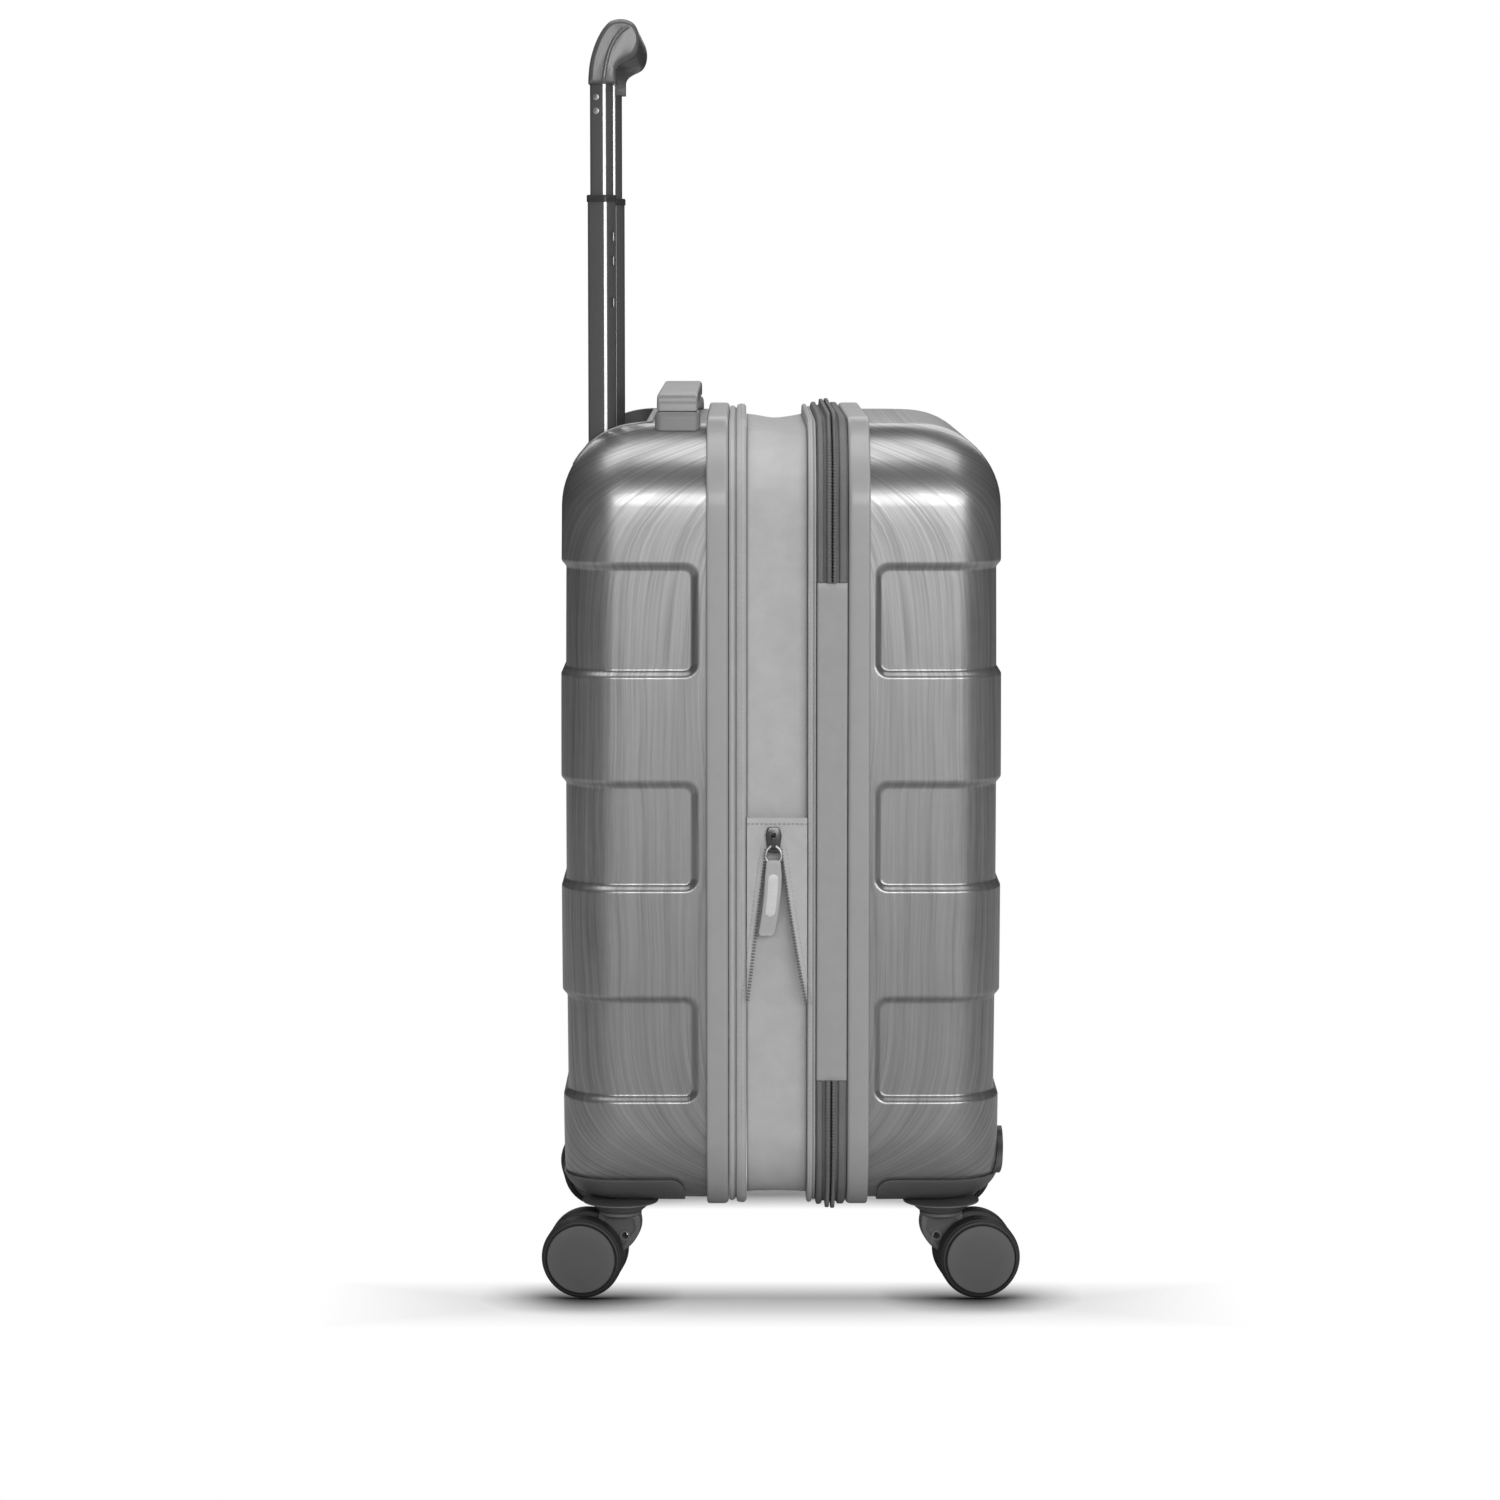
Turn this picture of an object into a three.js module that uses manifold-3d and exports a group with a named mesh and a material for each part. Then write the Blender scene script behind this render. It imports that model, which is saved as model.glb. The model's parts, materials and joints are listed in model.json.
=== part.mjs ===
// Expandable hard-shell carry-on suitcase on four twin-wheel casters.
//
// Frame: millimetres, +Z up, the origin on the floor under the middle of the case.
// X runs through the depth (the trolley side is -X, the lid is +X), Y runs across the
// width (the hinge side is -Y, the lock side is +Y).

import * as THREE from 'three';
import { mergeVertices } from 'three/addons/utils/BufferGeometryUtils.js';
import Module from 'manifold-3d';

const wasm = await Module();
wasm.setup();

// ---------------------------------------------------------------- driving sizes

const clearance = 0.3; // between pieces that touch or run in each other
const overlapCut = 1; // how far a cutting body runs past the face that it opens
const edgeSteps = 4;
const innerSteps = 3; // facets in each rounded corner of the case, the same for all that meets there

const body = {
  width: 348, // across the shells, hinge side to lock side
  height: 490, // shell underside to shell top
  ground: 61, // shell underside above the floor
  rearFace: 136, // shell back face behind the middle plane
  frontFace: 136, // lid face in front of the middle plane
  edgeRadius: 50, // top edges, and the corners seen from the front
  lowerFaceRadius: 25, // where the faces turn under to the base
  cornerRadius: 35, // upright edges between sides and faces
  crown: 1.6, // gentle belly of the faces
  wall: 2.5,
};
const seams = {
  rearRim: 46.5, // rear band: shell-side edge, behind the middle plane
  rearFlange: 32.9, // rear band: gusset-side edge
  gussetRear: 21.7, // expansion flange on the rear half
  gussetFront: 16.1, // expansion flange on the front half
  zipperRear: 21.7, // main zipper and hinge strip, rear edge
  zipperFront: 40.6,
  frontBand: 40.9,
  frontRim: 54.5,
};
const band = { proud: 4.2, round: 1.6, lip: 6.2 };
const flange = { proud: 3.5, groove: 4.4, depth: 6 };
const gusset = { sink: 3.4, belly: 1.4, thick: 1.5 };
const zipper = { tape: 3, coil: 7.2, split: 0.4 };
const hingeStrip = { length: 310, middle: 300, proud: 4.4 };

const panels = {
  count: 3,
  height: 67,
  pitch: 132,
  middle: 295, // height of the middle panel's centre
  depth: 3,
  bevel: 5,
  round: 9,
  rearEnd: 51, // where the rear shell's panels end, behind the middle plane
  frontEnd: 57, // where the lid's panels end
};

const lining = { gap: 1, thick: 1.2 };

const trolley = {
  centreX: -114.2,
  spacing: 200, // between the tube centres
  wall: 1.3,
  inner: { depth: 10.8, width: 20.6, bottom: 432 },
  middleTop: 690,
  middleLength: 338,
  outerBottom: 112,
  round: 2.4,
  collar: 4.5,
  lockHoles: [667, 652, 626], // heights of the latch holes at the resting extension
  lockHole: 3.2,
};
const pocket = { rear: 127.5, front: 84, beyond: 19, floor: 510, wall: 1.7, floorThick: 3, round: 9 };
const grip = {
  beyond: 14, // how far its ends run past the tubes' centres
  above: 71.7, // its lower end above the middle tubes' tops
  height: 43,
  legWidth: 24,
  barAbove: 21.3, // the bar's underside above its lower end
  bevel: 2.5,
  windowRound: 14,
  socket: 9,
};
const gripButton = { length: 38, width: 7, proud: 1.4, travel: 2.5, forward: 12 };

const handle = {
  x: -64.6,
  baseWidth: 28,
  baseLength: 30,
  baseHeight: 8,
  inset: 30, // each end of the housings inside the case's width
  barWidth: 21.5,
  barThick: 8.5,
  rise: 23.5,
  legWidth: 15,
  legLength: 12,
  foot: 1.8,
  plate: 2,
};

const caster = {
  x: 101.5,
  inset: 41, // the swivel axis inside the case's width
  turn: 6, // degrees each caster stands turned from straight ahead
  trail: 22.4,
  wheelRadius: 25.6,
  wheelInner: 6.3,
  wheelOuter: 22.6,
  capRadius: 22,
  axleRadius: 2.4,
  forkThick: 11,
  stemRadius: 4,
  bossTop: 19.5,
  bossFoot: 13.6,
  bossBottom: 53.6,
  discBottom: 51,
};
const cap = { proud: 1.6, front: 60.5, span: 82, top: 79, round: 9 };
const guard = { bottom: 78, height: 25, width: 46, proud: 4, inset: 54 };

const slider = { x: -5, z: 296, width: 10, height: 16, proud: 4.7, plate: 1.6, bridge: 2.8, strap: 1.2 };
const sliderReach = 9.9; // the outermost face of every zipper slider, outside the shells' sides
const pullRing = { radius: 5.2, wire: 0.8 };
const pullTab = { width: 10.5, length: 46, thick: 3.2 };

const lock = {
  x: 68.5,
  z: 360,
  width: 21,
  height: 58,
  proud: 3.4,
  sink: 9,
  dialRadius: 6.4,
  dialWidth: 5,
  dialPitch: 8.5,
  dialDrop: 6, // the middle dial below the lock's centre
  buttonZ: 380.5,
};
const mainSlider = { z: 360, gap: 24, height: 14, width: 9, pullLength: 30, pullWidth: 8 };

// ---------------------------------------------------------------- places that follow from the sizes

const halfWidth = body.width / 2;
const shellTop = body.ground + body.height;
const sliderFace = halfWidth + sliderReach;
const sliderBack = halfWidth + slider.proud;
const handleReach = halfWidth - handle.inset;
const casterY = halfWidth - caster.inset;
const gripBottom = trolley.middleTop + grip.above;
const gripTop = gripBottom + grip.height;
const pocketWidth = trolley.spacing + 2 * pocket.beyond;
const gripWidth = trolley.spacing + 2 * grip.beyond;
const gripButtonX = trolley.centreX + gripButton.forward;

// The next tube out, which this one slides in.
function nested({ depth, width }) {
  const step = 2 * (clearance + trolley.wall);
  return { depth: depth + step, width: width + step };
}
const innerSize = trolley.inner;
const middleSize = nested(innerSize);
const outerSize = nested(middleSize);

// ---------------------------------------------------------------- finishes

function finish(color, roughness, metalness) {
  return new THREE.MeshStandardMaterial({ color, roughness, metalness });
}

const finishes = {
  shell: finish(0x8b8b8b, 0.34, 0.45),
  band: finish(0x999999, 0.42, 0.1),
  fabric: finish(0xa3a3a3, 0.85, 0),
  liningCloth: finish(0x6d6d70, 0.9, 0),
  darkPlastic: finish(0x444446, 0.45, 0),
  handlePlastic: finish(0x8a8a8a, 0.45, 0),
  tube: finish(0x67676a, 0.3, 0.9),
  tread: finish(0x3f3f41, 0.6, 0),
  hub: finish(0x5a5a5c, 0.4, 0.1),
  metal: finish(0xb9b9bc, 0.25, 1),
  darkMetal: finish(0x3e3e40, 0.3, 0.9),
  rubber: finish(0xa8a8a8, 0.6, 0),
};

// ---------------------------------------------------------------- solids and booleans

function solidOf(geometry) {
  const bare = geometry.clone();
  for (const name of Object.keys(bare.attributes)) if (name !== 'position') bare.deleteAttribute(name);
  const welded = mergeVertices(bare, 1e-4);
  return new wasm.Manifold(new wasm.Mesh({
    numProp: 3,
    vertProperties: new Float32Array(welded.attributes.position.array),
    triVerts: new Uint32Array(welded.index.array),
  }));
}

function geometryOf(solid) {
  const mesh = solid.getMesh();
  const geometry = new THREE.BufferGeometry();
  geometry.setAttribute('position', new THREE.BufferAttribute(new Float32Array(mesh.vertProperties), 3));
  geometry.setIndex(new THREE.BufferAttribute(new Uint32Array(mesh.triVerts), 1));
  geometry.computeVertexNormals();
  return geometry;
}

function join(...geometries) {
  return geometryOf(geometries.map(solidOf).reduce((a, b) => a.add(b)));
}

function cut(geometry, ...tools) {
  return geometryOf(tools.map(solidOf).reduce((a, b) => a.subtract(b), solidOf(geometry)));
}

function common(a, b) {
  return geometryOf(solidOf(a).intersect(solidOf(b)));
}

// A closed geometry from corner points and faces, turned right side out.
function closed(points, faces) {
  let volume = 0;
  for (const [a, b, c] of faces) {
    const [p, q, r] = [points[a], points[b], points[c]];
    volume += p[0] * (q[1] * r[2] - q[2] * r[1]);
    volume += p[1] * (q[2] * r[0] - q[0] * r[2]);
    volume += p[2] * (q[0] * r[1] - q[1] * r[0]);
  }
  const outward = volume > 0 ? faces : faces.map(([a, b, c]) => [a, c, b]);
  const geometry = new THREE.BufferGeometry();
  geometry.setAttribute('position', new THREE.Float32BufferAttribute(points.flat(), 3));
  geometry.setIndex(outward.flat());
  geometry.computeVertexNormals();
  return geometry;
}

// The triangles that fill a flat outline, turning the same way as its points.
function fill(outline) {
  const shape = outline.map(([u, v]) => new THREE.Vector2(u, v));
  const triangles = THREE.ShapeUtils.triangulateShape(shape, []);
  return THREE.ShapeUtils.isClockWise(shape) ? triangles.map(([a, b, c]) => [a, c, b]) : triangles;
}

// Rows of equal length, each a closed loop, joined into a solid with flat ends.
function loft(rows) {
  const count = rows[0].length;
  const faces = [];
  for (let i = 0; i + 1 < rows.length; i++) {
    for (let j = 0; j < count; j++) {
      const a = i * count + j;
      const b = i * count + ((j + 1) % count);
      faces.push([a, b, b + count], [a, b + count, a + count]);
    }
  }
  const last = (rows.length - 1) * count;
  for (const [a, b, c] of fill(rows[0])) faces.push([a, c, b]);
  for (const [a, b, c] of fill(rows.at(-1))) faces.push([last + a, last + b, last + c]);
  return closed(rows.flat(), faces);
}

// A section of [x, outward offset] points carried along stations in the YZ plane.
function sweep(section, stations, isRing) {
  const count = section.length;
  const points = stations.flatMap((s) => section.map(([x, o]) => [x, s.y + s.ny * o, s.z + s.nz * o]));
  const spans = isRing ? stations.length : stations.length - 1;
  const faces = [];
  for (let i = 0; i < spans; i++) {
    const next = (i + 1) % stations.length;
    for (let j = 0; j < count; j++) {
      const k = (j + 1) % count;
      faces.push([i * count + j, i * count + k, next * count + k]);
      faces.push([i * count + j, next * count + k, next * count + j]);
    }
  }
  if (!isRing) {
    const last = (stations.length - 1) * count;
    for (const [a, b, c] of fill(section)) faces.push([a, c, b], [last + a, last + b, last + c]);
  }
  return closed(points, faces);
}

function roundedRect(width, height, radius) {
  const [w, h] = [width / 2, height / 2];
  const shape = new THREE.Shape();
  shape.moveTo(-w + radius, -h);
  shape.lineTo(w - radius, -h);
  shape.absarc(w - radius, -h + radius, radius, -Math.PI / 2, 0);
  shape.lineTo(w, h - radius);
  shape.absarc(w - radius, h - radius, radius, 0, Math.PI / 2);
  shape.lineTo(-w + radius, h);
  shape.absarc(-w + radius, h - radius, radius, Math.PI / 2, Math.PI);
  shape.lineTo(-w, -h + radius);
  shape.absarc(-w + radius, -h + radius, radius, Math.PI, 1.5 * Math.PI);
  return shape;
}

// A prism standing on z = 0, with optional rounded edges inside its outline.
function prism(shape, height, { bevel = 0, curve = 4, steps = 2 } = {}) {
  return new THREE.ExtrudeGeometry(shape, {
    depth: height - 2 * bevel,
    curveSegments: curve,
    bevelEnabled: bevel > 0,
    bevelThickness: bevel,
    bevelSize: bevel,
    bevelOffset: -bevel,
    bevelSegments: steps,
  }).translate(0, 0, bevel);
}

const lyingAlongX = (geometry) => geometry.rotateX(Math.PI / 2).rotateZ(Math.PI / 2);
const lyingAlongY = (geometry) => geometry.rotateX(Math.PI / 2);

// A box between two opposite corners.
function block(low, high) {
  const size = high.map((v, i) => v - low[i]);
  const middle = high.map((v, i) => (v + low[i]) / 2);
  return new THREE.BoxGeometry(...size).translate(...middle);
}

function revolve(profile, segments) {
  return new THREE.LatheGeometry(profile.map(([r, h]) => new THREE.Vector2(r, h)), segments);
}

// A cylinder standing along Z from one height to another.
function rod(radius, from, to, segments = 20) {
  const cylinder = new THREE.CylinderGeometry(radius, radius, to - from, segments);
  return cylinder.rotateX(Math.PI / 2).translate(0, 0, (from + to) / 2);
}

// ---------------------------------------------------------------- the scene graph

const suitcase = new THREE.Group();

function add(name, geometry, material, parent = suitcase) {
  const piece = new THREE.Mesh(geometry, material);
  piece.name = name;
  parent.add(piece);
  return piece;
}

// ---------------------------------------------------------------- shells

const smooth = (t) => {
  const s = Math.min(1, Math.max(0, t));
  return s * s * (3 - 2 * s);
};

const panelCentres = Array.from(
  { length: panels.count },
  (_, i) => panels.middle + (i - (panels.count - 1) / 2) * panels.pitch,
);

// How far a point is sunk by the raised-and-sunk panels: 1 on a panel's floor, 0 outside.
function panelDepth(x, z, end) {
  const nearest = panelCentres.reduce((best, c) => (Math.abs(z - c) < Math.abs(z - best) ? c : best));
  const inX = x - end;
  const inZ = panels.height / 2 - Math.abs(z - nearest);
  const qx = panels.round - inX;
  const qz = panels.round - inZ;
  const corner = Math.hypot(Math.max(qx, 0), Math.max(qz, 0));
  const outside = corner + Math.min(Math.max(qx, qz), 0) - panels.round;
  return smooth(-outside / panels.bevel);
}

// How far a quarter circle stands out at a distance from its middle.
const quarter = (radius, off) => Math.sqrt(Math.max(0, radius * radius - off * off));

// A shell half as one closed solid: the tub's outer skin moved inward by inset, opening at rim.
function tub({ rim, face, inset, end = null, arc = 2, edgeArc = edgeSteps, isFine = true }) {
  const top = body.ground + body.height - inset;
  const bottom = body.ground + inset;
  const half = halfWidth - inset;
  const edge = body.edgeRadius - inset;
  const lower = body.lowerFaceRadius - inset;
  const heights = [];
  const drop = (i) => edge * (1 - Math.cos((i / edgeArc) * (Math.PI / 2)));
  for (let i = 0; i <= edgeArc; i++) heights.push(bottom + drop(i));
  if (end !== null) {
    const steps = [0, panels.bevel];
    for (const c of panelCentres) {
      for (const s of steps) heights.push(c - panels.height / 2 + s);
      for (const s of steps.toReversed()) heights.push(c + panels.height / 2 - s);
    }
  }
  for (let i = edgeArc; i >= 0; i--) heights.push(top - drop(i));
  const middle = body.ground + body.height / 2;
  const rows = heights.map((z) => {
    const fromTop = Math.max(0, edge - (top - z));
    const fromBottom = Math.max(0, edge - (z - bottom));
    const overEdge = Math.max(fromTop, fromBottom);
    const side = edge - quarter(edge, overEdge);
    const underLower = Math.max(0, lower - (z - bottom));
    const back = fromTop > 0 ? side : lower - quarter(lower, underLower);
    const w = half - side;
    const f = face - inset - back;
    const r = (body.cornerRadius - inset) * (1 - 0.45 * (side / body.edgeRadius));
    const belly = body.crown * (1 - ((z - middle) / (body.height / 2)) ** 2);
    const along = [];
    const straight = end === null ? [rim] : [rim, end, end + panels.bevel];
    if (end !== null && isFine) straight.push(end + panels.round);
    for (const x of straight) along.push({ x, y: -w, nx: 0, ny: -1 });
    for (let i = 0; i <= arc; i++) {
      const a = (i / arc - 1) * (Math.PI / 2);
      const [nx, ny] = [Math.cos(a), Math.sin(a)];
      along.push({ x: f - r + r * nx, y: -w + r + r * ny, nx, ny });
    }
    const mirrored = along.toReversed().map((p) => ({ ...p, y: -p.y, ny: -p.ny }));
    return [...along, ...mirrored].map((p) => {
      const sunk = end === null ? 0 : panels.depth * panelDepth(p.x, z, end);
      const reach = smooth((p.x - rim) / (f - rim));
      return [p.x - p.nx * sunk + belly * reach, p.y - p.ny * sunk, z];
    });
  });
  return loft(rows);
}

const facingRear = (geometry) => geometry.rotateZ(Math.PI);
function shellHalf(rim, face, end) {
  const outside = tub({ rim, face, inset: 0, end });
  const inside = tub({
    rim: rim - overlapCut,
    face,
    inset: body.wall,
    end,
    edgeArc: innerSteps,
    isFine: false,
  });
  return cut(outside, inside);
}

// ---------------------------------------------------------------- rings round the case

// Stations round the rim of the case, from a height on the hinge side over the top.
function rimStations(start, stop, steps = edgeSteps) {
  const w = halfWidth - body.edgeRadius;
  const low = body.ground + body.edgeRadius;
  const high = shellTop - body.edgeRadius;
  const r = body.edgeRadius;
  const list = [{ y: -w - r, z: start, ny: -1, nz: 0 }];
  const corners = [[-w, high, 180], [w, high, 90], [w, low, 0], [-w, low, -90]];
  for (const [y, z, from] of corners) {
    for (let i = 0; i <= steps; i++) {
      const a = THREE.MathUtils.degToRad(from - (90 * i) / steps);
      list.push({ y: y + r * Math.cos(a), z: z + r * Math.sin(a), ny: Math.cos(a), nz: Math.sin(a) });
    }
  }
  if (stop !== null) list.push({ y: -w - r, z: stop, ny: -1, nz: 0 });
  return list;
}

const wholeRing = rimStations(body.ground + body.height / 2, null);
const hingeTop = hingeStrip.middle + hingeStrip.length / 2;
const hingeBottom = hingeStrip.middle - hingeStrip.length / 2;

function bandSection(rimX, seamX) {
  const into = Math.sign(seamX - rimX);
  const { proud, round, lip } = band;
  return [
    [rimX, clearance], [rimX, proud - round], [rimX + into * round, proud], [seamX - into * round, proud],
    [seamX, proud - round], [seamX, -body.wall],
    [rimX + into * lip, -body.wall], [rimX + into * lip, clearance],
  ];
}

function flangeSection(outerX, grooveX, innerX) {
  const to = Math.sign(innerX - outerX);
  return [
    [outerX, -flange.depth], [outerX, 0.5], [grooveX - to * 0.4, 0.8], [grooveX, flange.proud],
    [innerX - to * 0.8, flange.proud], [innerX, flange.proud - 1], [innerX, -flange.depth],
  ];
}

function gussetSection() {
  const left = -seams.gussetRear + clearance;
  const right = seams.gussetFront - clearance;
  const outer = [0, 0.25, 0.75, 1].map((t) => [
    left + (right - left) * t,
    -gusset.sink - gusset.belly * Math.sin(Math.PI * t),
  ]);
  return [...outer, ...outer.toReversed().map(([x, o]) => [x, o - gusset.thick])];
}

const zipperMiddle = (seams.zipperRear + seams.zipperFront) / 2;

function tapeSection(edge, split) {
  const to = Math.sign(split - edge);
  const span = Math.abs(split - edge);
  return [
    [edge, -zipper.tape], [edge, zipper.tape], [edge + to * span * 0.4, zipper.tape + 0.6],
    [edge + to * span * 0.7, zipper.coil - 0.8], [split, zipper.coil], [split, -zipper.tape],
  ];
}

add('rear_band', sweep(bandSection(-seams.rearRim, -seams.rearFlange), wholeRing, true), finishes.band);
add('front_band', sweep(bandSection(seams.frontRim, seams.frontBand), wholeRing, true), finishes.band);
const rearFlangeEdge = -seams.rearFlange + clearance;
add('rear_flange', sweep(
  flangeSection(rearFlangeEdge, -seams.rearFlange + flange.groove, -seams.gussetRear), wholeRing, true,
), finishes.fabric);
add('front_flange', sweep(
  flangeSection(seams.zipperRear - clearance, seams.zipperRear - 1, seams.gussetFront), wholeRing, true,
), finishes.fabric);
add('gusset', sweep(gussetSection(), wholeRing, true), finishes.fabric);

const zipperRun = rimStations(hingeTop + clearance, hingeBottom - clearance);
add('main_zipper_case_half', sweep(
  tapeSection(seams.zipperRear, zipperMiddle - zipper.split / 2), zipperRun, false,
), finishes.fabric);
add('main_zipper_lid_half', sweep(
  tapeSection(seams.zipperFront, zipperMiddle + zipper.split / 2), zipperRun, false,
), finishes.fabric);

const hingeRun = [hingeBottom, hingeTop].map((z) => ({ y: -halfWidth, z, ny: -1, nz: 0 }));
const hingeOutline = [
  [seams.zipperRear, -zipper.tape],
  [seams.zipperRear, hingeStrip.proud - 1.2],
  [seams.zipperRear + 2.5, hingeStrip.proud],
  [seams.zipperFront - 2.5, hingeStrip.proud],
  [seams.zipperFront, hingeStrip.proud - 1.2],
  [seams.zipperFront, -zipper.tape],
];
add('hinge_strip', sweep(hingeOutline, hingeRun, false), finishes.fabric);

// ---------------------------------------------------------------- rear shell and what it carries

const rearEdge = seams.rearRim - band.lip + clearance;
const frontEdge = seams.frontRim - band.lip + clearance;

// The pocket's outline seen from above, grown by a margin.
function pocketPrism(margin, from, to) {
  const depth = pocket.rear - pocket.front;
  const shape = roundedRect(depth + 2 * margin, pocketWidth + 2 * margin, pocket.round + margin);
  return prism(shape, to - from, { curve: 2 }).translate(-(pocket.rear + pocket.front) / 2, 0, from);
}

const tubeSides = [-1, 1];
const tubeY = (side) => (side * trolley.spacing) / 2;

function tubeProfile({ depth, width }, growth = 0) {
  return roundedRect(depth + 2 * growth, width + 2 * growth, trolley.round + growth);
}

function tubeSolid(size, from, to, side, growth = 0) {
  const tube = prism(tubeProfile(size, growth), to - from, { curve: 2 });
  return tube.translate(trolley.centreX, tubeY(side), from);
}

function hollowTube(size, from, to, side) {
  const bore = tubeSolid(size, from - overlapCut, to + overlapCut, side, -trolley.wall);
  return cut(tubeSolid(size, from, to, side), bore);
}

const handleEnds = [-1, 1];
const handleEndY = (end) => end * (handleReach - handle.baseLength / 2);

// An upright prism on the carry handle's end, from one height to another.
function handlePost(end, width, length, from, to) {
  const post = prism(roundedRect(width, length, 2), to - from, { curve: 1 });
  return post.translate(handle.x, handleEndY(end), from);
}

const pocketBottom = pocket.floor - pocket.floorThick;
const pocketCut = pocketPrism(pocket.wall + clearance, pocketBottom - clearance, shellTop + 10);
const rearHalf = facingRear(shellHalf(rearEdge, body.rearFace, panels.rearEnd));
add('rear_shell', cut(rearHalf, pocketCut), finishes.shell);

// A shell-shaped skin that lies over a corner of the shell, used by guards and caps.
function overShell(rim, face, growth) {
  return tub({ rim, face, inset: -growth });
}

const pocketWalls = common(
  pocketPrism(pocket.wall, pocketBottom, shellTop + 10),
  facingRear(overShell(0, body.rearFace, 0)),
);
const pocketSpace = pocketPrism(0, pocket.floor, shellTop + 20);
const tubeHoles = tubeSides.map((side) => tubeSolid(middleSize, 0, shellTop + 20, side, clearance));
add('handle_pocket', cut(pocketWalls, pocketSpace, ...tubeHoles), finishes.darkPlastic);

// ---------------------------------------------------------------- trolley handle

// A flat rivet head on the outward face of an inner tube, low enough to pass the stage below.
const rivetHeights = [gripBottom - 8, gripBottom - 16.6];
const rivetProud = 0.15;
function rivet(side, z) {
  const face = tubeY(side) + side * (innerSize.width / 2 - 0.4);
  const top = 0.4 + rivetProud;
  const head = revolve([[0, 0], [1.9, 0], [1.9, top - 0.1], [1.6, top], [0, top]], 6);
  return head.rotateZ(side < 0 ? Math.PI : 0).translate(trolley.centreX - 1, face, z);
}

const outerTop = pocketBottom - clearance;
for (const side of tubeSides) {
  const hand = side < 0 ? 'left' : 'right';
  add(`outer_tube_${hand}`, hollowTube(outerSize, trolley.outerBottom, outerTop, side), finishes.tube);
  const middleBottom = trolley.middleTop - trolley.middleLength;
  const holes = trolley.lockHoles.map((z) => lyingAlongY(rod(trolley.lockHole, -2, 2, 6))
    .translate(trolley.centreX, tubeY(side) - side * (middleSize.width / 2), z));
  const middleTube = hollowTube(middleSize, middleBottom, trolley.middleTop - clearance, side);
  add(`middle_tube_${hand}`, cut(middleTube, ...holes), finishes.tube);
  const innerTube = hollowTube(innerSize, trolley.inner.bottom, gripBottom + grip.socket, side);
  add(`inner_tube_${hand}`, join(innerTube, ...rivetHeights.map((z) => rivet(side, z))), finishes.tube);
  add(`stage_collar_${hand}`, collarRing(side), finishes.darkPlastic);
}

function collarRing(side) {
  const top = trolley.middleTop + trolley.collar - 1.5;
  const ring = prism(tubeProfile(middleSize, 0.5), trolley.collar, { curve: 1 })
    .translate(trolley.centreX, tubeY(side), top - trolley.collar);
  const overTube = tubeSolid(middleSize, 0, trolley.middleTop - clearance + 0.15, side, 0.15);
  const bore = tubeSolid(innerSize, 0, top + overlapCut, side, clearance);
  return cut(ring, overTube, bore);
}

// The bracket that carries the feet of the outer tubes, seated on the shell's back.
const baseBar = { height: 14, wall: 2.4, drop: 6 };
const baseFront = -trolley.centreX - outerSize.depth / 2 - baseBar.wall;
const baseDepth = body.rearFace - baseFront;
const baseWidth = trolley.spacing + outerSize.width + 4 * baseBar.wall;
const baseBlock = prism(roundedRect(baseDepth, baseWidth, 3), baseBar.height, { curve: 2 })
  .translate(-baseFront - baseDepth / 2, 0, trolley.outerBottom - baseBar.drop);
const shellSpace = facingRear(tub({
  rim: rearEdge,
  face: body.rearFace,
  inset: body.wall + clearance,
  end: panels.rearEnd,
  edgeArc: innerSteps,
  isFine: false,
}));
const footSockets = tubeSides.map((side) => tubeSolid(
  outerSize, trolley.outerBottom - clearance, shellTop, side, clearance,
));
add('trolley_base', cut(common(baseBlock, shellSpace), ...footSockets), finishes.darkPlastic);

// The grip's outline from the side: a collar on the tube that sweeps up and forward into the bar.
function gripOutline() {
  const back = trolley.centreX - innerSize.depth / 2 - 0.9;
  const low = gripBottom;
  const shape = new THREE.Shape();
  shape.moveTo(back, low);
  shape.lineTo(back + 0.2, low + grip.socket + 0.5);
  shape.bezierCurveTo(back + 0.6, gripTop - 24, back + 5.5, gripTop - 8, back + 12.5, gripTop - 2.5);
  shape.bezierCurveTo(back + 18, gripTop + 0.6, back + 27, gripTop + 1, back + 31, gripTop - 3.5);
  shape.bezierCurveTo(back + 35, gripTop - 8.5, back + 32.5, gripTop - 17.5, back + 27, gripTop - 24);
  shape.bezierCurveTo(back + 21, gripTop - 31, back + 15, gripTop - 35, back + 13.4, low);
  return shape;
}

function gripSolid() {
  const whole = lyingAlongY(prism(gripOutline(), gripWidth, { bevel: grip.bevel, steps: 1, curve: 4 }))
    .translate(0, gripWidth / 2, 0);
  const opening = roundedRect(gripWidth - 2 * grip.legWidth, 2 * grip.height, grip.windowRound);
  const gap = lyingAlongX(prism(opening, 2 * grip.height, { curve: 3 }))
    .translate(trolley.centreX - grip.height, 0, gripBottom + grip.barAbove - 2 - grip.height);
  const socketTop = gripBottom + grip.socket + clearance;
  const socketBottom = gripBottom - grip.height;
  const sockets = tubeSides.map((side) => tubeSolid(innerSize, socketBottom, socketTop, side, 0.2));
  const slot = prism(roundedRect(gripButton.width + 0.6, gripButton.length + 0.6, 3.2), 12, { curve: 2 })
    .translate(gripButtonX, 0, gripTop - 6);
  return cut(whole, gap, ...sockets, slot);
}
add('grip', gripSolid(), finishes.darkPlastic);
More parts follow.
